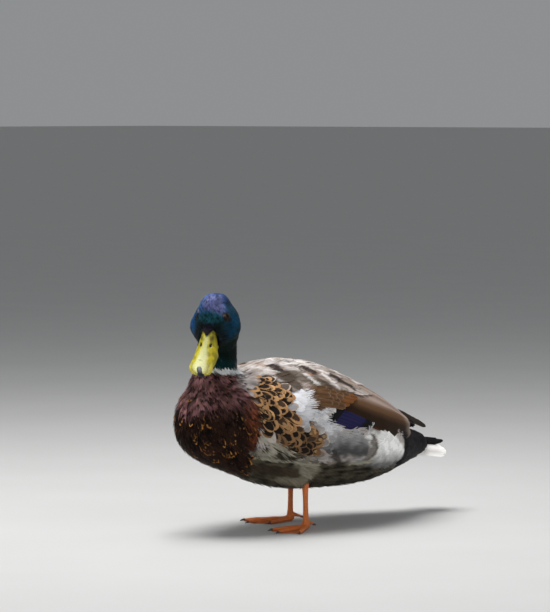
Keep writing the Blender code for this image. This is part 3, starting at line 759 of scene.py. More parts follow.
WING_COVER = ((70, 50), (70, 70), (80, 74), (82, 83), (92, 86), (108, 89), (128, 90), (144, 91),
    (156, 89.5), (170, 89), (207, 89), (234, 82), (262, 66), (275, 40), (275, -1), (112, -1), (100, 30),
    (88, 44))
BROWN_COVERTS = ((68, 55), (85, 53), (104, 54), (125, 57), (143, 60), (144, 63), (127, 70), (116, 70),
    (99, 73), (88, 75), (81, 73), (79, 67), (79, 61))
# Single dark feathers, streaks and pale strips: from mm, degrees to mm, degrees, half width in mm, kind.
STROKES = (
    (58, 36, 88, 48, 8.0, "grey"), (82, 42, 91, 42, 1.4, "rust"), (84, 17, 82, 34, 0.9, "line"),
    (86, 23, 87, 33, 0.8, "line"), (52, 39, 61, 52, 4.6, "brown"), (60, 32, 64, 41, 2.6, "brown"),
    (81, 40, 88, 52, 2.6, "white"), (72, 19, 88, 24, 2.2, "white"), (83, -10, 97, 21, 1.8, "white"),
    (45, 22, 53, 32, 1.8, "white"), (61, -4, 52, 16, 3.4, "pink"), (155, 92, 168, 97, 1.0, "rim"),
    (168, 97, 174, 104, 1.2, "rim"), (174, 104, 169, 113, 1.2, "rim"), (169, 113, 158, 118, 1.0, "rim"),
    (108, 41, 116, 56, 2.2, "white"), (94, 49, 104, 54, 2.4, "brown"), (94, 58, 105, 59, 2.2, "brown"),
    (108, 35, 123, 41, 2.2, "white"), (140, 46, 176, 52, 2.4, "pink"), (121, 67, 139, 62, 3.0, "rust"),
    (103, 111, 116, 118, 3.0, "black"), (15, 104, 34, 107, 3.0, "cream"), (35, 110, 52, 114, 2.6, "cream"),
    (15, 127, 61, 121, 2.0, "cream"), (29, 142, 69, 135, 7.0, "brown"), (61, 122, 88, 123, 3.2, "cream"),
    (71, 129, 92, 138, 3.6, "cream"), (136, 120, 177, 117, 1.6, "cream"), (59, 18, 57.6, 28.5, 4.2, "dark"),
    (90, 32, 96.5, 39, 3.4, "dark"), (121, 42.5, 131, 47.5, 3.4, "dark"), (131, 47.5, 145, 53.5, 2.4, "dark"),
)
STROKE_COLOURS = {"grey": ((0.105, 0.082, 0.06), 0.85), "cream": ((0.4, 0.375, 0.29), 0.75),
                  "dark": ((0.03, 0.019, 0.014), 1.0), "line": ((0.055, 0.038, 0.03), 0.9),
                  "brown": ((0.05, 0.034, 0.022), 0.92), "rust": ((0.27, 0.1, 0.03), 0.85),
                  "white": ((0.74, 0.7, 0.68), 0.8), "pink": ((0.33, 0.24, 0.19), 0.8),
                  "black": ((0.02, 0.017, 0.013), 0.85), "rim": ((0.12, 0.075, 0.045), 0.85), }


class Look(dict):
    """Colours and marks of many feathers, painted over one another."""

    def __init__(self, many, ground, mark=(0.1, 0.08, 0.07), rim=(0.3, 0.25, 0.2)):
        for name, colour in (("ground", ground), ("mark", mark), ("rim", rim)):
            self[name] = np.tile(np.array(colour, float), (many, 1))
        for name in ("heart", "edge", "bars"):
            self[name] = np.zeros(many)

    def lay(self, share, ground=None, **values):
        """Paints colours and marks over the feathers, as strongly as the share of each says."""
        if ground is not None:
            values["ground"] = ground
        for name, value in values.items():
            weight = share[:, None] if self[name].ndim == 2 else share
            self[name] = self[name] * (1 - weight) + np.asarray(value, float) * weight
        return self


def tinted(strength, *colour):
    """One colour at many strengths."""
    return strength[:, None] * np.array(colour)


def body_look(points, seed):
    """The markings of the body at points on the skin, with painted shade low on the sides, belly and breast,
    and painted sheen high on the breast.
    """
    behind, angle = station(points)
    rng = np.random.default_rng(seed)
    many = len(points)
    wavering = mottle(points, 0.012, 5) * 0.0022
    b, a = behind + wavering, angle + mottle(points, 0.014, 6) * 2.0
    blotch, streak = mottle(points, 0.016, 7), mottle(points * (1, 0.35, 1), 0.007, 8)
    chance = rng.random(many)
    look = Look(many, (0.5, 0.455, 0.43), (0.2, 0.155, 0.125), (0.62, 0.59, 0.56))
    back = fall(48, 62, a)
    look.lay(rise(26, 38, a) * back, (0.27, 0.215, 0.18))
    look.lay(back * rise(-0.3, 0.5, streak) * 0.7, (0.25, 0.195, 0.165))
    look.lay(back * rise(0.1, 0.7, blotch) * 0.7, (0.62, 0.575, 0.55))
    look.lay(np.ones(many), bars=0.22)
    look.lay(region(b, a, BROWN_COVERTS, 6), (0.125, 0.066, 0.032), mark=(0.05, 0.03, 0.018))
    look.lay(region(b, a, SHOULDER), tinted(0.36 + 0.14 * streak, 1.0, 0.9, 0.87), mark=(0.07, 0.055, 0.05),
             heart=np.where(chance < 0.35, 0.55, 0.0), bars=0.1)
    fluff = 0.84 - 0.36 * rise(70, 86, a) * fall(0.066, 0.08, b)
    look.lay(region(b, a, WHITE_TUFT), tinted(fluff, 1.0, 1.0, 1.03), mark=(0.16, 0.16, 0.18),
             bars=0.06 + 0.5 * rise(72, 84, a))
    # The grey flank painted darker towards the bottom, down to near black: painted shade.
    look.lay(region(b, a, GREY_FLANK, 8), tinted(0.52 - 0.46 * rise(91, 108, a), 1.0, 0.99, 0.99),
             mark=(0.2, 0.195, 0.2), bars=0.4)
    # The white rump side painted darker towards the bottom: painted shade.
    look.lay(region(b, a, RUMP_SIDE), tinted(0.98 - 0.8 * rise(101, 123, a), 1.0, 1.0, 0.98),
             mark=(0.42, 0.42, 0.4), bars=0.05)
    look.lay(region(b, a, RUSTY_RIM, 3), (0.24, 0.22, 0.2))
    under = region(b, a, BELLY, 8)
    # The belly's dark brown is partly its own colour and partly painted shade of the underside.
    look.lay(under, tinted(0.06 + 0.045 * streak + 0.025 * blotch, 1.0, 0.86, 0.58),
             mark=(0.05, 0.038, 0.022), edge=0.0, bars=0.25)
    buff = under * fall(0.055, 0.085, behind) * fall(114, 128, angle) * rise(0.0, 0.6, blotch + 0.4)
    look.lay(buff, (0.46, 0.43, 0.35), bars=0.15)
    legs = fall(0.064, 0.074, points[:, 2]) * rise(0.02, 0.028, np.abs(points[:, 0]))
    legs = legs * rise(0.05, 0.06, behind) * fall(0.09, 0.102, behind)
    look.lay(legs, (0.26, 0.235, 0.17), mark=(0.12, 0.1, 0.06), bars=0.3, edge=0.0)
    b_mm, turned = (behind + wavering * 0.35) * 1000, angle + mottle(points, 0.01, 6) * 0.9
    for first, turn, last, end, wide, kind in STROKES:
        tint, strength = STROKE_COLOURS[kind]
        run, climb, beyond, above = last - first, (end - turn) * 1.2, b_mm - first, (turned - turn) * 1.2
        share = np.clip((beyond * run + above * climb) / (run**2 + climb**2), 0, 1)
        wide = wide * (1.3 if kind in ("dark", "brown", "line") else 1.0)
        gap = np.hypot(beyond - share * run, above - share * climb)
        look.lay(fall(wide * 0.8, wide * 1.3 + 0.4, gap) * strength, tint, bars=0.05)
    dark = np.where((chance < 0.85)[:, None], (0.012, 0.008, 0.006), (0.055, 0.032, 0.018))
    edging = tinted((0.5 + 0.8 * rng.random(many)) * (1 - 0.62 * rise(84, 108, a)), 0.46, 0.25, 0.11)
    look.lay(region(b, a, ORANGE_EDGED, 3), dark, mark=(0.33, 0.2, 0.1), rim=edging,
             edge=rng.uniform(0.16, 0.5, many), heart=np.where(rng.random(many) < 0.22, 0.16, 0.0), bars=0.0)
    look.lay(region(b, a, BLACK_RUMP), (0.0045, 0.0042, 0.005), mark=(0.003, 0.003, 0.003),
             rim=(0.016, 0.012, 0.02), edge=0.12, heart=0.0, bars=0.0)
    # The chestnut breast fades to near black lower down, and its rims grow fainter there: painted shade. The
    # purplish brightness at its top is partly painted sheen.
    edge, low = on_rows(angle, CHESTNUT_EDGE, 1000), rise(50, 86, angle)
    clump = mottle(points, 0.006, 14)
    red = rise(-0.02, 0.004, behind - edge) * rise(55, 75, angle) * fall(100, 125, angle)
    chestnut = shaded(rgb(0.122, 0.056, 0.057), rgb(0.015, 0.006, 0.003), low)
    chestnut = shaded(chestnut, rgb(0.14, 0.036, 0.014), 0.8 * red)
    chestnut = chestnut * np.clip(1 + 0.6 * blotch + 1.1 * clump, 0.12, 2.8)[:, None]
    ochre = tinted(0.4 + 0.9 * rng.random(many), 0.38, 0.165, 0.036)
    lucky = chance < 0.03 + 0.34 * rise(0.0, 0.6, mottle(points, 0.016, 9)) * rise(66, 92, angle)
    faint = tinted((1 - 0.55 * low) * (0.6 + 0.8 * rng.random(many)), 0.15, 0.06, 0.036)
    wide = np.where(lucky, rng.uniform(0.24, 0.44, many), rng.uniform(0.0, 0.22, many))
    look.lay(fall(-0.0015, 0.0015, b - edge), chestnut, mark=(0.012, 0.007, 0.005),
             rim=np.where(lucky[:, None], ochre, faint), edge=wide,
             heart=np.where(rng.random(many) < 0.5, 0.3, 0.0), bars=0.0)
    return look


def head_look(points, seed):
    """The markings of the head and neck at points on the skin, with painted iridescent sheen, and painted
    highlights and shade by the eyes.
    """
    side, ahead, up = (value * 1000 for value in to_head(points))
    rng = np.random.default_rng(seed)
    flank, height = np.abs(side), collar_height(points)
    patch, fine = mottle(points, 0.013, 11), mottle(points, 0.004, 12)
    far_from = lambda x, y, z, aside=side: np.sqrt((aside - x) ** 2 + (ahead - y) ** 2 + (up - z) ** 2)
    look = Look(len(points), (0.004, 0.03, 0.026), (0.004, 0.012, 0.012), (0.1, 0.12, 0.22))
    look["edge"] = np.where(rng.random(len(points)) < 0.1, 0.12, 0.0)
    back, short_of_bill = fall(-8, 6, ahead), fall(12, 19, ahead)
    # Painted iridescent sheen over the green-black head: violet-blue behind, teal and blue on the face,
    # violet on the crown.
    look.lay(back * rise(2, 16, up), (0.03, 0.045, 0.16))
    look.lay(rise(10, 17, flank) * rise(-16, -4, up), (0.006, 0.034, 0.06))
    # The cheek bluer and brighter on the right side than on the left: painted sheen where the light falls.
    cheek = rise(13, 20, flank) * rise(-6, 5, up) * fall(17, 22, up) * rise(-14, 0, ahead)
    look.lay(cheek, shaded(rgb(0.003, 0.042, 0.085), rgb(0.008, 0.085, 0.24), rise(4, -4, side)))
    look.lay(rise(15, 21, up) * (1 - back * 0.4), (0.026, 0.095, 0.235))
    crown = rise(21.5, 26.5, up + 1.6 * patch + 4.0 * rise(2, 12, side)) * short_of_bill
    look.lay(crown, (0.08, 0.092, 0.205))
    # A brighter blue band on the right side of the crown only: painted sheen.
    blue = rise(3, 9, -side) * rise(16, 19, up) * fall(25, 28, up) * short_of_bill
    look.lay(blue * 0.8, (0.05, 0.135, 0.33))
    look.lay(rise(12, 18, ahead) * rise(13, 19, up) * fall(24, 28, up), (0.01, 0.07, 0.09))
    look.lay(rise(17, 25, ahead) * fall(14, 21, up), (0.004, 0.009, 0.01))
    look.lay(rise(24, 29, ahead) * fall(4, 7, flank) * rise(8, 12, up), (0.01, 0.007, 0.016))
    look.lay(fall(-15, -7, up), (0.003, 0.01, 0.008))
    neck = rise(0.034, 0.042, off_skull(points))
    look.lay(neck, (0.001, 0.01, 0.006))
    # Teal just above the collar: painted sheen.
    look.lay(neck * fall(0.006, 0.014, height), (0.001, 0.024, 0.024))
    # Fine streaks on the upper head, partly the feathers' own grain and partly painted specular sheen.
    streaky = mottle(points * (1.0, 1.0, 0.45), 0.0022, 13)
    uneven = 1 + 0.25 * patch + 0.3 * fine + 0.6 * streaky * rise(10, 18, up)
    look["ground"] *= np.clip(uneven, 0.3, 2.0)[:, None]
    height = height + 0.0006 * patch
    look.lay(rise(-0.0046, -0.0034, height) * fall(0.0008, 0.0018, height), (0.74, 0.76, 0.76),
             mark=(0.3, 0.3, 0.3), rim=(0.8, 0.8, 0.8))
    eye = np.array([EYE_AT.x, -EYE_AT.y, EYE_AT.z]) * 1000
    look.lay(fall(4.6, 6.4, far_from(*eye, flank)), (0.014, 0.01, 0.007), edge=0.0)
    # A buff spot at the upper front of the left eye: painted highlight.
    look.lay(fall(1.2, 2.8, far_from(15.2, 13.8, 20.6)), (0.3, 0.22, 0.15))
    # A dark streak from the left eye up the side of the crown: painted shade between crown and cheek.
    look.lay(fall(2.0, 5.0, far_from(18.0, 6.0, 20.5)) * 0.8, (0.012, 0.01, 0.012))
    # A pale spot above the right eye: painted highlight.
    look.lay(fall(1.8, 4.0, far_from(-15.0, 9.5, 21.5)), (0.55, 0.47, 0.45))
    look.lay(bill_share(side / 1000, ahead / 1000, up / 1000), (0.012, 0.01, 0.006), edge=0.0)
    return look


def whole_look(points, seed):
    """Body markings below the collar, head markings above it, each with its painted shade and sheen."""
    share = rise(-0.005, -0.004, collar_height(points))
    return body_look(points, seed).lay(share, **head_look(points, seed + 1))


# ---------------------------------------------------------------- build the skin

# How far an eye stands out, how far its lids and the bare skin round it reach, and the eyeball's radius.
EYE_OUT, LID_REACH, EYE_BARE, EYE_SHOWN = 0.0009, 0.0033, 0.0034, 0.0046

skin = Skin()


def eye_seat(side):
    """Where an eye sits on the face, and the way it looks, in the head's frame."""
    turn = HEAD_FRAME.to_3x3()
    middle = HEAD_FRAME @ Vector((side * EYE_AT.x, EYE_AT.y, EYE_AT.z))
    _, ways = skin.nearest([middle])
    way = (turn.inverted() @ Vector(ways[0]) + Vector((side * 0.3, 0.0, 0.0))).normalized()
    hit, _, _, _ = skin.tree.ray_cast(middle - turn @ way * 0.008, turn @ way)
    return HEAD_FRAME.inverted() @ hit, way


EYE_SEATS = {side: eye_seat(side) for side, _ in SIDES}

set_layer(skin.mesh, "ground", whole_look(skin.points, 1)["ground"])
new_piece("skin", skin.mesh, skin_material(), "body_plumage", "trunk", "neck", "head", "thigh_left",
          "thigh_right", "wing_left", "wing_right")

# ---------------------------------------------------------------- contour feathers

soft_plumage = plumage_material("soft_feathers", 0.8, sheen=0.03, gloss=0.1)
breast_plumage = plumage_material("breast_feathers", 0.6, gloss=0.08, broken=0.5)
gloss_plumage = plumage_material("glossy_head_feathers", 0.4, metallic=0.5, gloss=0.12)
black_plumage = plumage_material("black_feathers", 0.55, gloss=0.12)


def off_feathers(side, ahead, up, reach=EYE_BARE):
    """True on the bill, and within reach of the middle of an eye."""
    found = bill_share(side, ahead, up) > 0.5
    for seat, way in EYE_SEATS.values():
        out = np.stack([side, -ahead, up], axis=-1) - np.array(seat)
        along = out @ np.array(way)
        aside = np.linalg.norm(out - along[:, None] * np.array(way), axis=-1)
        found |= (aside < reach) & (np.abs(along) < 0.006)
    return found


def lay_coat(name, where, seed, spacing, length, width, wander, look_at=body_look, spans=BODY_SPAN,
             material=soft_plumage, slot="body_plumage", steps=4, whole_from=9.0, strips=False, **style):
    """Scatters feathers over part of the skin, lays them along it and makes them one piece."""
    rng = np.random.default_rng(seed)
    roots, normals = skin.scatter(where, np.broadcast_to(spacing, len(skin.centres)), seed)
    length = length * rng.uniform(0.88, 1.12, len(roots))
    spine, up = walk(skin, roots, normals, length, steps, wander, rng)
    tips = spine[:, -1]
    keep = ~off_feathers(*to_head(tips)) & ~(region(*station(tips), TERTIAL_AREA, 8.0) > 0.25)
    spine, up, length = spine[keep], up[keep], length[keep]
    look = look_at(spine[:, -1] * 0.6 + spine[:, -2] * 0.4, seed)
    coat = Coat(name, spans)
    whole = look["edge"] > whole_from
    width = width * rng.uniform(0.9, 1.1, len(spine)) * np.where(whole, 0.85, 1.0)
    for chosen, loose in ((~whole, strips), (whole, False)):
        if chosen.any():
            part = {mark: values[chosen] for mark, values in look.items()}
            coat.add(spine[chosen], up[chosen], width[chosen], length[chosen], part, rng, strips=loose,
                     **style)
    coat.piece(material, slot)


def flank_paint(u, s, ground, which, places):
    """Each tuft its own colour towards the front, and one smooth marking across them all behind."""
    share = 0.95 * rise(0.094, 0.106, station(places)[0])
    shadow = (0.74 + 0.26 * rise(0.1, 0.6, s) + 0.08 * np.sin(which * 5.1))[:, None]
    return shaded(ground, body_look(places, 90)["ground"], share) * shadow


def by_place(u, s, ground, which, places):
    """Markings that run across many feathers, each feather a little lighter or darker than the next."""
    tint = 1 + 0.12 * np.sin(which * 7.3)[:, None]
    shadow = (0.72 + 0.28 * rise(0.15, 0.75, s))[:, None]
    return (ground * (1 - 0.96) + body_look(places, 90)["ground"] * 0.96) * tint * shadow


# How far up the neck the body's feathers and the neck's end.
BODY_TOP, NECK_TOP = -0.0052, 0.018

behind, angle = station(skin.centres)
collar, face = collar_height(skin.centres), to_head(skin.centres)
lay_coat("coat_head", (collar > NECK_TOP) & ~off_feathers(*face, EYE_BARE + 0.0004), 21,
         0.00112 - 0.00036 * rise(0.008, 0.03, face[1]), 0.0036, 0.0006, 0.12, whole_look, HEAD_SPAN,
         gloss_plumage, "head", 3, columns=3, rows=3, lift=(0.0001, 0.0013), fray=0.05, jitter=0.00012,
         blunt=0.5)
lay_coat("coat_neck", (collar > BODY_TOP) & (collar <= NECK_TOP), 22, 0.0017, 0.0062, 0.0011, 0.08,
         whole_look, NECK_SPAN, gloss_plumage, "neck", 3, columns=3, rows=3, lift=(0.0002, 0.0019),
         fray=0.05, jitter=0.00015, blunt=0.4)
below = collar <= BODY_TOP
breast_zone = below & (behind < on_rows(angle, CHESTNUT_EDGE, 1000) - 0.002)
lay_coat("coat_breast", breast_zone, 23, 0.0034, 0.0118, 0.0033, 0.16, whole_look, BREAST_SPAN,
         breast_plumage, whole_from=0.24, columns=12, lift=(0.0003, 0.0032), strips=True)
wing_top = on_rows(behind, ((0.243, 0.119), (0.255, 0.111), (0.267, 0.104), (0.279, 0.098), (0.291, 0.094),
                            (0.303, 0.09)))
below &= ~((behind > 0.236) & (skin.centres[:, 2] > wing_top + 0.003) & (angle < 75))
below &= ~(region(behind, angle, WING_COVER) > 0.5)
rump_zone = below & (region(behind, angle, BLACK_RUMP) > 0.5)
middle_zone = below & ~breast_zone & ~rump_zone
side_zone = middle_zone & (angle >= 50) & (angle < 118)
scaly_zone = side_zone & (region(behind, angle, ORANGE_EDGED) > 0.5)
smooth_zone = side_zone & ~scaly_zone & (region(behind, angle, RUMP_SIDE) > 0.5) & (behind > 0.162)
flank_zone = side_zone & ~scaly_zone & ~smooth_zone
lay_coat("coat_rump", rump_zone, 24, 0.0042, 0.015, 0.004, 0.06, spans=RUMP_SPAN, material=black_plumage,
         lift=(0.0003, 0.0028), fray=0.05)
lay_coat("coat_back", middle_zone & (angle < 50), 25, 0.005, 0.017, 0.0046, 0.07, lift=(0.0003, 0.0031),
         fray=0.07, paint=by_place)
lay_coat("coat_shoulder", scaly_zone, 26, 0.0054, 0.0185, 0.005, 0.2, lift=(0.0003, 0.0033), fray=0.07)
lay_coat("coat_rump_side", smooth_zone, 29, 0.004, 0.0165, 0.0046, 0.06, columns=11, lift=(0.0003, 0.003),
         fray=0.05, paint=by_place)
lay_coat("coat_flank", flank_zone, 28, 0.004, 0.0165, 0.0042, 0.12, columns=14, lift=(0.0003, 0.0033),
         fray=0.09, strips=True, paint=flank_paint)
lay_coat("coat_belly", middle_zone & (angle >= 118), 27, 0.0046, 0.016, 0.004, 0.1, columns=8, rows=5,
         lift=(0.0003, 0.003), strips=True, paint=by_place)

# ---------------------------------------------------------------- wings

BROWN, DARK_BROWN, RUSTY = rgb(0.115, 0.058, 0.026), rgb(0.034, 0.015, 0.005), rgb(0.17, 0.062, 0.018)
PINK_GREY, GREY_BROWN = rgb(0.36, 0.265, 0.22), rgb(0.2, 0.155, 0.125)
INDIGO, VIOLET = rgb(0.012, 0.013, 0.055), rgb(0.034, 0.02, 0.095)
BLACK, WHITE = rgb(0.006, 0.005, 0.006), rgb(0.78, 0.78, 0.77)


def speculum_paint(u, s, ground, which, places):
    """Violet-blue with a black bar and a white tip."""
    behind, angle = station(places)
    top = 69.5 + (behind * 1000 - 129) * 0.34
    colour = shaded(INDIGO, VIOLET, rise(-0.2, 1.0, -u) * 0.7)
    colour = shaded(colour, BLACK, fall(1.5, 3.5, angle - top))
    colour = shaded(colour, BLACK, rise(0.72, 0.8, s))
    return shaded(colour, WHITE * 0.8, rise(0.955, 0.975, s))


def bar_paint(u, s, *_):
    """Greater coverts: grey-brown, then a white bar and a black tip."""
    return shaded(shaded(GREY_BROWN, WHITE, rise(0.3, 0.34, s)), BLACK, rise(0.66, 0.7, s))


def tertial_paint(u, s, *_):
    """Brown, paler and pinkish towards the upper edge, dark with a rusty rim below."""
    across = np.clip(u * 0.5 + 0.5, 0, 1)
    base = shaded(PINK_GREY * 0.85, BROWN, rise(0.06, 0.34, across))
    base = shaded(base, DARK_BROWN * 0.5, rise(0.34, 0.7, across) * 0.95)
    base = shaded(base, RUSTY * 0.7, rise(0.94, 0.98, across) * 0.8)
    return shaded(base, GREY_BROWN * 1.5, rise(0.82, 0.98, s) * 0.85)


def upper_tertial_paint(u, s, *_):
    """Pinkish grey with a darker strip along the shaft."""
    strip = fall(0.05, 0.6, np.abs(u - 0.15)) * rise(0.1, 0.4, s) * fall(0.75, 1.0, s)
    return shaded(PINK_GREY, GREY_BROWN * 0.8, strip * 0.75)


def covert_paint(u, s, *_):
    """Brown with a dark shaft and a paler rim."""
    rim = rise(0.8, 0.95, np.maximum(np.abs(u), (s - 0.5) * 2))
    colour = shaded(BROWN, DARK_BROWN, fall(0.05, 0.45, np.abs(u)) * 0.5)
    return shaded(colour, rgb(0.23, 0.145, 0.095), rim * 0.7)


def rusty_paint(u, s, *_):
    return shaded(shaded(BROWN, RUSTY, rise(0.35, 0.8, s)), DARK_BROWN, fall(0.03, 0.2, np.abs(u)) * 0.4)


def primary_paint(u, s, *_):
    return shaded(rgb(0.02, 0.014, 0.01), rgb(0.085, 0.065, 0.052), rise(0.82, 0.95, np.abs(u)))


def tail_paint(white):
    """White with a grey middle, greyer where the feather is less white."""
    def paint(u, s, *_):
        middle = fall(0.15, 0.75, np.abs(u)) * fall(0.8, 0.95, s)
        return shaded(rgb(1.0, 0.97, 0.94), rgb(0.16, 0.13, 0.11), np.clip(middle * (1.25 - white), 0, 1))
    return paint


def scapular_paint(u, s, ground, which, places):
    """The body's own markings, with a darker streak along each shaft and a paler edge."""
    colour = by_place(u, s, ground, which, places)
    streak = fall(0.04, 0.34, np.abs(u)) * rise(0.25, 0.6, s)
    colour = shaded(colour, colour * 0.45, streak * (0.15 + 0.5 * (np.sin(which * 2.4) > 0.4)))
    return shaded(colour, np.minimum(colour * 1.3 + 0.01, 0.8), rise(0.72, 0.95, np.abs(u)) * 0.5)


# Rows of feathers on the folded wing, the lowest laid first: roots and tips, then half width and paint.
QUILLS = [(118 - 25 * k / 7, 67 + 17 * k / 7, 171 - 24 * k / 7, 78 + 14 * k / 7) for k in range(7, -1, -1)]
BAR_COVERTS = [(94 - 22 * k / 6, 63 + 14 * k / 6, 119 - 22 * k / 6, 71.0 + 12.5 * k / 6)
               for k in range(6, -1, -1)]
TERTIALS = ((118, 66, 262, 69, 17.0), (112, 47, 262, 55, 11.0), (108, 36, 256, 43, 11.0),
            (104, 24, 246, 30, 11.0), (100, 8, 232, 11, 12.0))
COVERTS = [(72 + 9.5 * k + 3 * (m % 2), 53.0 + 3.6 * m + k, 98 + 9.5 * k + 3 * (m % 2), 56.0 + 3.4 * m + k)
           for m in range(5) for k in range(4 - m // 3)][::-1]
RUSTY_COVERTS = [(100 + 6 * k, 66.0 - 1.6 * k, 124 + 9 * k, 69.5 - 3.2 * k) for k in range(2, -1, -1)]
SCAPULARS = []
for row in range(9):
    for step in range(14 - row // 2):
        start = 16 + row * 3.2 + step * 9.6 + (row % 2) * 4.8
        SCAPULARS.append((start, 4 + 6 * row, start + 27 + step * 1.5, 5.5 + 6.3 * row + 0.28 * step))


def make_wing(side, word):
    """The folded wing: secondaries with their coverts, tertials, and the scapulars over them all."""
    rng = np.random.default_rng(40 + side)
    wing = Coat(f"wing_feathers_{word}")

    def lay_row(ends, half_width, ground, **style):
        wing.add_on_body(ends, [half_width] * len(ends), Look(len(ends), ground), rng, side, atlas=8, **style)

    lay_row(QUILLS, 4.4, INDIGO, rows=24, lift=(0.001, 0.002), paint=speculum_paint, fray=0.004, blunt=0.05)
    lay_row(BAR_COVERTS, 4.4, WHITE, rows=18, lift=(0.001, 0.0025), paint=bar_paint, fray=0.01, blunt=0.08)
    for k, (*ends, half_width) in enumerate(TERTIALS):
        lay_row([ends], half_width, BROWN, bow=2.0 if k else 7.0, rows=36, columns=17, fray=0.003, blunt=0.2,
                narrow=0.75, taper=0.35, lift=(0.0018 + 0.0001 * k, 0.0034 + 0.0001 * k),
                paint=upper_tertial_paint if k else tertial_paint)
    lay_row(COVERTS, 4.6, BROWN, rows=12, lift=(0.0018, 0.0036), paint=covert_paint, fray=0.05)
    lay_row(RUSTY_COVERTS, 4.0, RUSTY, rows=12, lift=(0.0022, 0.0039), paint=rusty_paint, fray=0.05)
    wing.piece(wing_plumage, "wing_plumage")
    mantle = Coat(f"scapulars_{word}", BODY_SPAN)
    ends = np.array(SCAPULARS[::-1], float) + rng.normal(0, 1.0, (len(SCAPULARS), 4)) * (1.2, 0.6, 3.0, 1.2)
    roots, _ = skin.below(ends[:, 0] / 1000, ends[:, 1] * side)
    ends = ends[collar_height(roots) < -0.006]
    half_width = rng.uniform(4.4, 5.8, len(ends))
    shown = ends[:, :2] * 0.3 + ends[:, 2:4] * 0.7
    look = body_look(skin.below(shown[:, 0] / 1000, shown[:, 1] * side)[0], 50)
    mantle.add_on_body(ends, half_width, look, rng, side, rows=12, lift=(0.0018, 0.0039), fray=0.08,
                       blunt=0.34, paint=scapular_paint, jitter=0.00015)
    mantle.piece(soft_plumage, "body_plumage")


def add_quill(coat, line, up, half_width, length, ground, rng, **style):
    """Adds one stiff feather on a line behind the neck's foot."""
    spine = (line + (0, NECK_FOOT, 0))[None]
    coat.add(spine, np.tile(up, (1, len(line), 1)), [half_width], [length], Look(1, ground), rng, **style)


def make_primaries(side, word):
    """The closed wing's tip: four long dark quills over one another."""
    rng = np.random.default_rng(60 + side)
    coat = Coat(f"primary_feathers_{word}")
    share = np.linspace(0, 1, 13)[:, None]
    up = unit(np.array([0.95 * side, 0.25, 0.8]))
    for k in range(4):
        ends = np.array([(0.034 - 0.002 * k, 0.225, 0.12), (0.0185, 0.272, 0.111 + 0.0006 * k),
                         (0.009 + 0.0014 * k, 0.3225 - 0.01 * k, 0.096 + 0.0026 * k)])
        line = ends[0] * (1 - share) ** 2 + 2 * ends[1] * share * (1 - share) + ends[2] * share**2
        add_quill(coat, line * (side, 1, 1) + (0, 0, 0.0007 * k), up, 0.0056, 0.09, BLACK, rng, rows=20,
                  lift=(0.0, 0.0004), blunt=0.1, fray=0.004, cup=0.6, narrow=0.8, paint=primary_paint,
                  atlas=2)
    coat.piece(wing_plumage, "primaries", f"primaries_{word}")


def make_tail():
    """White-sided tail fan, ragged at its end, with grey middle feathers."""
    rng = np.random.default_rng(70)
    coat = Coat("tail_feathers")
    share = np.linspace(0, 1, 13)[:, None]
    for side, k in [(side, k) for k in range(7) for side in (-1, 1)]:
        spread = (6.5 - k) / 6.5
        start = np.array([side * (0.003 + 0.011 * spread), 0.268, 0.0785 - 0.007 * spread])
        end = np.array([side * (0.002 + 0.02 * spread), 0.35 - 0.008 * spread**2 + rng.normal(0, 0.0018),
                        0.0725 - 0.0075 * spread**1.3])
        line = start * (1 - share) + end * share
        line = line + np.array([side * 0.002, 0, 0.0012]) * np.sin(math.pi * share)
        droop = math.radians(12 + 48 * spread)
        add_quill(coat, line, np.array([side * math.sin(droop), 0.0, math.cos(droop)]), 0.0062, 0.085,
                  WHITE, rng, columns=11, rows=20, lift=(0.0, 0.0003), blunt=0.16, fray=0.03, cup=0.3,
                  narrow=0.75, atlas=4, paint=tail_paint(0.25 + 0.75 * spread))
    coat.piece(wing_plumage, "tail", "tail")


# The curled feathers' line: distance behind the neck, height.
CURL_LINE = ((0.288, 0.0925), (0.3, 0.0875), (0.312, 0.0825), (0.322, 0.0785), (0.335, 0.0762),
             (0.352, 0.0752))


def make_curl(side, word):
    """Two black feathers that turn up at the tip, over the tail."""
    rng = np.random.default_rng(80 + side)
    coat = Coat(f"curl_feathers_{word}")
    share = np.linspace(0, 1, 15)
    for k, (reach, turn_up) in enumerate(((0.3525, 0.0022), (0.34, 0.0035))):
        behind = 0.288 + (reach - 0.288) * share
        height = on_rows(behind, CURL_LINE) + 0.001 * k + turn_up * share**4
        line = np.column_stack([side * (0.0066 + 0.0024 * share + 0.0018 * k), behind, height])
        add_quill(coat, line, unit(np.array([0.85 * side, 0.1, 0.7])), 0.0042, 0.05, BLACK, rng, columns=7,
                  rows=18, lift=(0.0, 0.0002), blunt=0.25, fray=0.01, cup=0.8, narrow=0.8, atlas=2)
    coat.piece(black_plumage, "curl", f"curl_{word}")


wing_plumage = plumage_material("flight_feathers", 0.6, gloss=0.1, barbs=7000.0)
for side, word in SIDES:
    make_wing(side, word)
    make_primaries(side, word)
    make_curl(side, word)
make_tail()

# ---------------------------------------------------------------- bill

# Distance ahead of the cheeks, height of the ridge and of the cutting edge, half width there, squareness.
UPPER_BILL = (
    (0.024, 0.0136, -0.0072, 0.0074, 3.0), (0.028, 0.0142, -0.0074, 0.0081, 2.8),
    (0.034, 0.0119, -0.0076, 0.0092, 2.5), (0.0405, 0.0086, -0.0077, 0.0104, 2.4),
    (0.0478, 0.0051, -0.0078, 0.0115, 2.2), (0.055, 0.0023, -0.0079, 0.0119, 2.2),
    (0.0628, -0.0001, -0.0079, 0.0122, 2.4), (0.0696, -0.0016, -0.0077, 0.0125, 2.5),
    (0.075, -0.0025, -0.0074, 0.0119, 2.5), (0.079, -0.0033, -0.0071, 0.0099, 2.4),
    (0.0818, -0.0042, -0.0069, 0.0066, 2.2), (0.0829, -0.0053, -0.0066, 0.0025, 2.0),
)
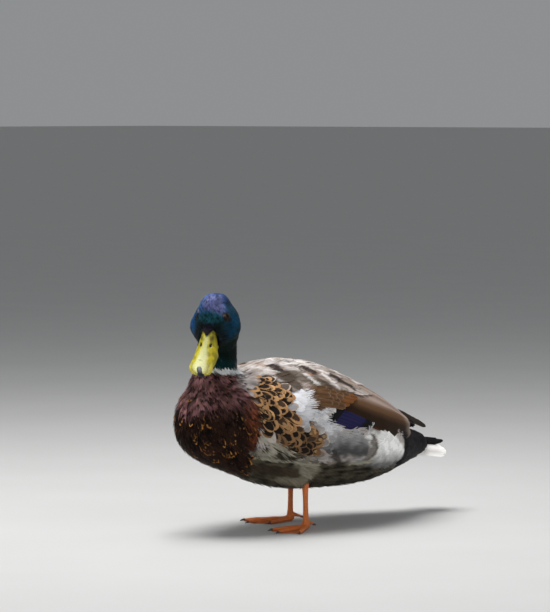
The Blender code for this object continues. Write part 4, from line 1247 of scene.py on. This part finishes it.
# Distance ahead, top, bottom and half width.
LOWER_BILL = (
    (0.02, -0.0083, -0.0123, 0.0065), (0.028, -0.0082, -0.014, 0.0086), (0.0395, -0.0083, -0.0134, 0.009),
    (0.0522, -0.0086, -0.0121, 0.0095), (0.0632, -0.0085, -0.011, 0.0108), (0.0714, -0.0082, -0.0102, 0.0108),
    (0.0764, -0.0079, -0.0093, 0.0086), (0.0787, -0.0077, -0.0085, 0.004),
)
NAIL = (
    (0.0738, -0.002, -0.0036, 0.002), (0.0764, -0.0024, -0.005, 0.0036), (0.0796, -0.0031, -0.0072, 0.0043),
    (0.0824, -0.0042, -0.0082, 0.0038), (0.084, -0.0058, -0.0084, 0.0022),
)
# Distance from the bill's middle line, distance ahead.
NOSTRIL_ASIDE, NOSTRIL_AHEAD = 0.0051, 0.0462
NOSTRIL_LONG, NOSTRIL_WIDE, NOSTRIL_DEEP = 0.002, 0.0009, 0.0024


def power(value, squareness):
    """Squares off a sine, its sign kept."""
    return math.copysign(abs(value) ** (2 / squareness), value)


def horn_loft(rings):
    """Points and quads of a closed loft through rings, with a fan of thin quads at each end."""
    rings = np.array(rings)
    count, sides = rings.shape[:2]
    faces = [
        (k * sides + m, k * sides + (m + 1) % sides, (k + 1) * sides + (m + 1) % sides, (k + 1) * sides + m)
        for k in range(count - 1) for m in range(sides)
    ]
    for start, hub, way in ((0, count * sides, -1), ((count - 1) * sides, count * sides + 1, 1)):
        for m in range(0, sides, 2):
            faces.append((start + m, start + (m + 1) % sides, start + (m + 2) % sides, hub)[::way])
    return np.vstack([rings.reshape(-1, 3), rings[0].mean(axis=0), rings[-1].mean(axis=0)]), np.array(faces)


def stations(rows, count):
    """Places along a table, closer together towards its ends."""
    first, last = rows[0][0], rows[-1][0]
    return [first + (last - first) * (1 - math.cos(math.pi * k / (count - 1))) / 2 for k in range(count)]


def upper_bill_rings():
    rings, arch = [], 56
    for at in stations(UPPER_BILL, 90):
        ridge, cutting, half_width, squareness = eased(UPPER_BILL, at)
        ring = []
        for k in range(arch + 1):
            turn = math.pi * (k / arch - 0.5)
            height = (ridge - cutting) * max(math.cos(turn), 0) ** (2 / squareness * 1.15)
            ring.append([half_width * power(math.sin(turn), squareness), -at, cutting + height])
        rings.append(ring + [[half_width * (1 - k / 4) * 0.92, -at, cutting + 0.0004] for k in range(1, 8)])
    return rings


def meet_face(points):
    """Spreads the bill's base out to the line of the face, so that its two horns lie on it."""
    world, face, back = placed(HEAD_FRAME, points), tree_over(nodes["head"].data), HEAD_FRAME.inverted()
    for k, (_, y, z) in enumerate(points):
        if -y > 0.042 or z < -0.006:
            continue
        heart = HEAD_FRAME @ Vector((0, y, -0.004))
        way = Vector(world[k]) - heart
        hit, _, _, far = face.ray_cast(heart, way.normalized())
        if hit is None or far < way.length:
            continue
        spot = back @ hit
        share = float(bill_share(spot.x, -spot.y, spot.z))
        most = 0.0024 if z > 0.009 else 0.0012 * float(rise(-0.003, 0.003, z))
        reach = min(max(far - 0.0007, way.length), way.length + most)
        points[k] = back @ (heart + way.normalized() * (way.length + (reach - way.length) * share))
    return points


def make_upper_bill(material):
    points, faces = horn_loft(upper_bill_rings())
    points = meet_face(points)
    side, ahead, up = points[:, 0], -points[:, 1], points[:, 2]
    ridge, cutting, half, _ = np.array([eased(UPPER_BILL, at) for at in np.clip(ahead, 0.024, 0.0829)]).T
    sides, on_top = np.abs(side), up > cutting + 0.0006
    long = (ahead - NOSTRIL_AHEAD) / NOSTRIL_LONG
    wide = (sides - NOSTRIL_ASIDE - 0.12 * (NOSTRIL_AHEAD - ahead)) / NOSTRIL_WIDE
    hole = np.exp(-((long**2 + wide**2) ** 2)) * on_top
    lip = np.exp(-((np.sqrt(long**2 + wide**2) - 1.55) ** 2) / 0.12) * on_top
    points[:, 2] += -NOSTRIL_DEEP * hole + 0.00022 * lip
    points[:, 0] -= np.sign(side) * hole * 0.0006
    share = sides / np.maximum(half, 1e-4)
    points[:, 2] -= 0.0005 * (rise(0.05, 0.064, ahead) * bump_at(share, 0.7, 0.14) * on_top)
    lamella = np.sin(ahead * 2 * math.pi / 0.0011) * bump_at(up, cutting, 0.0009) * rise(0.036, 0.044, ahead)
    points[:, 0] += np.sign(side) * 0.00012 * lamella * (sides > half * 0.8)
    world = placed(HEAD_FRAME, points)
    patch, fine = mottle(world, 0.008, 31), mottle(world, 0.0022, 32)
    olive = rgb(0.14, 0.125, 0.005)
    shade = np.clip(rise(-0.1, 0.6, patch) * 0.55 + fall(0.03, 0.045, ahead) * 0.35, 0, 1)
    colour = shaded(rgb(0.47, 0.4, 0.006), olive, shade)
    spread = 0.22 * rise(0.046, 0.06, ahead)
    pale = fall(0.08 + spread, 0.3 + spread, share + 0.06 * patch) * rise(0.034, 0.04, ahead)
    # Darker patches beside the nostrils and along the bill's base next to the face.
    darker_patch = bump_at(sides, 0.0052 + 0.25 * (0.04 - ahead), 0.0015) * bump_at(ahead, 0.0385, 0.0046)
    darker_patch = np.maximum(darker_patch, 0.6 * bump_at(ahead, 0.03, 0.003) * rise(0.4, 0.7, share))
    colour = shaded(colour, rgb(0.07, 0.062, 0.008), darker_patch)
    pale = np.maximum(pale, fall(0.55, 0.85, share) * rise(0.064, 0.072, ahead) * 0.8)
    colour = shaded(colour, rgb(0.52, 0.52, 0.26), pale)
    colour = shaded(colour, rgb(0.52, 0.47, 0.1), rise(0.8, 0.9, share) * rise(0.06, 0.07, ahead) * 0.7)
    colour = shaded(colour, olive * 0.6, bump_at(share, 0.72, 0.07) * rise(0.062, 0.07, ahead) * 0.55)
    colour = shaded(colour, rgb(0.012, 0.01, 0.006), np.clip(hole * 5.0, 0, 1))
    scratch = bump_at(ahead, 0.0655 + 0.3 * side, 0.0005) * fall(0.0016, 0.003, np.abs(side + 0.001))
    colour = colour * (1 - 0.7 * scratch)[:, None] * (1 + 0.12 * fine)[:, None]
    # Yellower all over, and painted darker on the bill's left side than its right: painted shade on the side
    # away from the light.
    colour *= shaded(rgb(0.98, 0.98, 0.7), rgb(0.78, 0.76, 0.6), rise(-0.006, 0.008, side))
    mesh = new_mesh("bill_upper_horn", world, faces)
    set_layer(mesh, "ground", np.clip(colour, 0, 1))
    return new_piece("bill_upper_horn", mesh, material, "bill", "bill_upper")


def make_lens_horn(name, rows, count, sides, material, slot, node, paint):
    """A loft whose rings are ovals: the lower bill and the nail."""
    rings = []
    for at in stations(rows, count):
        top, bottom, half_width = eased(rows, at)
        turns = [2 * math.pi * k / sides for k in range(sides)]
        rings.append([[half_width * math.sin(t), -at, (top + bottom) / 2 + (top - bottom) / 2 * math.cos(t)]
                      for t in turns])
    points, faces = horn_loft(rings)
    world = placed(HEAD_FRAME, points)
    mesh = new_mesh(name, world, faces)
    set_layer(mesh, "ground", paint(points, world))
    new_piece(name, mesh, material, slot, node)


def lower_bill_paint(points, world):
    return shaded(rgb(0.58, 0.46, 0.04), rgb(0.24, 0.2, 0.03), rise(0.1, 0.9, mottle(world, 0.007, 33)) * 0.5)


def nail_paint(points, world):
    dark = tinted(1 + 0.4 * mottle(world, 0.004, 34), 0.007, 0.01, 0.013)
    return shaded(dark, rgb(0.08, 0.1, 0.13), 0.3 * fall(0.0745, 0.078, -points[:, 1]))


bill_horn = horn_material("bill_horn", 0.42, 700.0, 0.0001)
nail_horn = horn_material("nail_horn", 0.36, 900.0, 0.00008)
upper_bill = make_upper_bill(bill_horn)
make_lens_horn("bill_lower_horn", LOWER_BILL, 40, 48, bill_horn, "bill", "bill_lower", lower_bill_paint)
make_lens_horn("bill_nail_horn", NAIL, 24, 40, nail_horn, "nail", "bill_nail", nail_paint)


def make_brow():
    """The point of short dark feathers that runs down on to the bill between its two horns."""
    rng = np.random.default_rng(35)
    horn, turn = tree_over(upper_bill.data), HEAD_FRAME.to_3x3()
    spines = []
    for ahead in np.arange(0.0255, 0.0352, 0.0008):
        reach = 0.006 * np.clip((0.0368 - ahead) / 0.0072, 0, 1)
        for side in np.arange(-reach, reach + 1e-6, 0.0008):
            line = []
            for step in range(5):
                at = ahead + rng.normal(0, 0.0002) + step * 0.0009
                across = side * (1 - 0.1 * step) + rng.normal(0, 0.00012)
                start = HEAD_FRAME @ Vector((across, -at, 0.032))
                found = [tree.ray_cast(start, -(turn @ Vector((0, 0, 1)))) for tree in (horn, skin.tree)]
                line.append(min((hit for hit in found if hit[0] is not None), key=lambda hit: hit[3])[0])
            spines.append(line)
    many = len(spines)
    coat = Coat("brow_feathers", HEAD_SPAN)
    up = np.tile(np.array(turn @ Vector((0, -0.25, 1)).normalized()), (many, 5, 1))
    coat.add(np.array(spines), up, [0.00062] * many, [0.0036] * many, Look(many, (0.007, 0.005, 0.01)), rng,
             columns=3, rows=3, lift=(0.0003, 0.0009), fray=0.05, jitter=0.0001, blunt=0.5)
    coat.piece(gloss_plumage, "head")


make_brow()


# ---------------------------------------------------------------- eyes

def eye_frame(side):
    """A frame at an eye's middle whose Z looks out of it and whose X points ahead."""
    seat, way = EYE_SEATS[side]
    ahead = Vector((0, -1, 0))
    x = (ahead - way * ahead.dot(way)).normalized()
    turn = Matrix((x, way.cross(x), way)).transposed().to_4x4()
    return HEAD_FRAME @ Matrix.Translation(seat - way * (EYE_SHOWN - EYE_OUT)) @ turn


def make_eye(side, name, node, material):
    """A ball with a slight bulge in front."""
    turn = np.linspace(0.02, math.pi - 0.02, 40)
    angle = np.linspace(0, 2 * math.pi, 48, endpoint=False)
    bulge = EYE_SHOWN * (1 + 0.04 * np.exp(-((turn / 0.45) ** 2)))
    local = np.stack([
        np.outer(np.sin(turn) * bulge, np.cos(angle)), np.outer(np.sin(turn) * bulge, np.sin(angle)),
        np.outer(np.cos(turn) * bulge, np.ones(len(angle))),
    ], axis=-1)
    points, faces = horn_loft(local)
    mesh = new_mesh(name, placed(eye_frame(side), points), faces)
    ring = np.where(points[:, 2] < 0, 1, np.hypot(points[:, 0], points[:, 1]) / EYE_SHOWN)
    set_layer(mesh, "ring", np.column_stack([ring, ring, ring]))
    new_piece(name, mesh, material, "eye", node)


def make_lids(side, name, material):
    """The rim of skin round an eye: an almond ring with a fold, that lies against the eyeball."""
    rounds, sides = 72, 12
    t = 2 * math.pi * np.arange(rounds)[:, None] / rounds
    p = 2 * math.pi * np.arange(sides) / sides
    corner = 0.00045 * np.maximum(np.cos(t), 0) ** 8 + 0.0003 * np.maximum(-np.cos(t), 0) ** 8
    x, y = (LID_REACH * 1.02 + corner) * np.cos(t), LID_REACH * 0.84 * np.sin(t)
    reach = np.hypot(x, y)
    radius = reach + 0.00025 + 0.00042 * (1 + 0.12 * np.sin(2 * p + 0.6)) * np.cos(p)
    lift = np.sqrt(EYE_SHOWN**2 - reach**2) + 0.00002 - 0.0003 * np.cos(p) + 0.00032 * np.sin(p)
    points = np.stack([radius * x / reach, radius * y / reach, lift], axis=-1).reshape(-1, 3)
    corner = np.arange(rounds * sides).reshape(rounds, sides)
    after, beside = np.roll(corner, -1, axis=0), np.roll(corner, -1, axis=1)
    faces = np.stack([corner, after, np.roll(after, -1, axis=1), beside], axis=-1).reshape(-1, 4)
    new_piece(name, new_mesh(name, placed(eye_frame(side), points), faces), material, "eye")


eyeball = eye_material()
eyelid = mixed_material("eyelid_skin", (0.004, 0.003, 0.003), (0.014, 0.011, 0.009), 2200.0, 0.65, 0.2,
                        relief=0.0001, constants={"Specular IOR Level": 0.2})
for side, word in SIDES:
    make_eye(side, f"eyeball_{word}", f"eye_{word}", eyeball)
    make_lids(side, f"eyelids_{word}", eyelid)


# ---------------------------------------------------------------- legs

def make_leg(word, material):
    mesh = grown_together(f"leg_{word}", (f"foot_{word}", f"shank_{word}"), LEG_VOXEL, 4)
    points = read(mesh)
    heel = points[points[:, 2] < 0.012].mean(axis=0)
    for toe in TOES:
        horn = read(nodes[f"claw_{toe}_{word}"].data)
        root = horn[np.argsort(np.linalg.norm(horn - heel, axis=1))[:4]].mean(axis=0)
        near = fall(0.001, 0.0075, np.linalg.norm(points - root, axis=1))
        points += (near * 0.0024)[:, None] * unit(horn.mean(axis=0) - root)
    low = points[:, 2] < 0.0004
    points[low, 2] = np.minimum(points[low, 2], 0.0001)
    points[:, 2] = np.maximum(points[:, 2], 0.0)
    move(mesh, points)
    set_layer(mesh, "ground", np.tile(fall(0.0018, 0.003, points[:, 2])[:, None] * 0.5, (1, 3)))
    mesh.polygons.foreach_set("use_smooth", np.full(len(mesh.polygons), True))
    new_piece(f"leg_{word}", mesh, material, "leg", f"foot_{word}", f"shank_{word}")


scaly = leg_material()
claw = mixed_material("claw_horn", (0.02, 0.014, 0.01), (0.1, 0.06, 0.035), 1500.0, 0.32, 0.2, relief=0.00008)
for _, word in SIDES:
    make_leg(word, scaly)
    for toe in TOES:
        materials = nodes[f"claw_{toe}_{word}"].data.materials
        materials.clear()
        materials.append(claw)

# ---------------------------------------------------------------- head, floor, lights, camera

# Every piece that reaches the head or neck.
HEAD_PIECES = ("skin", "coat_head", "coat_neck", "coat_breast", "coat_back", "scapulars_left",
               "scapulars_right", "bill_upper_horn", "bill_lower_horn", "bill_nail_horn", "brow_feathers",
               "eyeball_left", "eyeball_right", "eyelids_left", "eyelids_right")


def settle_head():
    """Sets the head a little over to its right, with a fuller face, as the living bird carried it."""
    for name in HEAD_PIECES:
        mesh = bpy.data.objects[name].data
        points = read(mesh)
        side, ahead, up = to_head(points)
        on_bill = np.ones(len(points)) if name.startswith("bill") else rise(0.013, 0.027, ahead)
        lofty, throat = 0.8 * up - 0.6 * ahead, fall(-0.028, -0.016, up)
        low = fall(0.012, 0.02, up) * (1 - throat)
        over = -0.0009 - 0.0032 * rise(0.016, 0.027, up) - 0.002 * throat
        over -= 0.0046 * rise(0.001, 0.017, side) * rise(0.007, 0.02, lofty)
        over += (0.0016 * rise(0.006, 0.02, side) - 0.0013 * rise(0.006, 0.02, -side)) * low
        fuller = 0.0014 * rise(0.001, 0.01, side) * rise(0.04, 0.05, ahead) * fall(0.06, 0.07, ahead)
        bent = -0.0022 - 0.0022 * np.clip((ahead - 0.045) / 0.035, 0, 1) + fuller
        over = (over * (1 - on_bill) + bent * on_bill) * rise(-0.007, 0.007, collar_height(points))
        move(mesh, points + over[:, None] * np.array(HEAD_FRAME)[:3, 0])


def make_floor():
    mesh = new_mesh("floor", [(-60, -60, 0), (60, -60, 0), (60, 60, 0), (-60, 60, 0)], [(0, 1, 2, 3)])
    floor = put("floor", mesh)
    pale = mixed_material("pale_floor", (0.5, 0.5, 0.49), (0.54, 0.54, 0.53), 6.0, 0.85, 0, 2.0)
    mesh.materials.append(pale)


def aim(thing, place, way):
    """Puts a light or the camera in its place and turns it to look along a way."""
    thing.location = place
    thing.rotation_euler = way.to_track_quat("-Z", "Y").to_euler()


def make_light(name, place, size, power):
    data = bpy.data.lights.new(name, "AREA")
    data.size, data.energy = size, power
    aim(put(name, data), place, Vector((0, 0, 0.12)) - Vector(place))


def make_camera(turn=43.0, tip=3.0, far=4.0, lens=224.0, frame_middle=(0.0595, 0.241)):
    """Looks at the bird from its left front, a little from above."""
    turn, tip = math.radians(turn), math.radians(tip)
    aside, height = frame_middle
    to_camera = Vector((math.sin(turn) * math.cos(tip), -math.cos(turn) * math.cos(tip), math.sin(tip)))
    middle = Vector((0, NECK_FOOT, height)) + Vector((math.cos(turn), math.sin(turn), 0)) * aside
    data = bpy.data.cameras.new("camera")
    data.lens, data.sensor_width = lens, 36.0
    bpy.context.scene.camera = put("camera", data)
    aim(bpy.context.scene.camera, middle + to_camera * far, -to_camera)


settle_head()
make_floor()
make_light("top_softbox", (-0.25, -0.25, 1.9), 1.2, 48)
make_light("front_softbox", (-0.4, -2.0, 0.8), 1.3, 6)
make_light("side_softbox", (2.0, -0.1, 0.9), 1.3, 9)
make_camera()
world = bpy.data.worlds.new("studio")
world.use_nodes = True
sky = world.node_tree.nodes["Background"].inputs
sky["Color"].default_value, sky["Strength"].default_value = (0.9, 0.92, 0.95, 1), 0.3
bpy.context.scene.world = world
bpy.context.scene.view_settings.view_transform = "Standard"
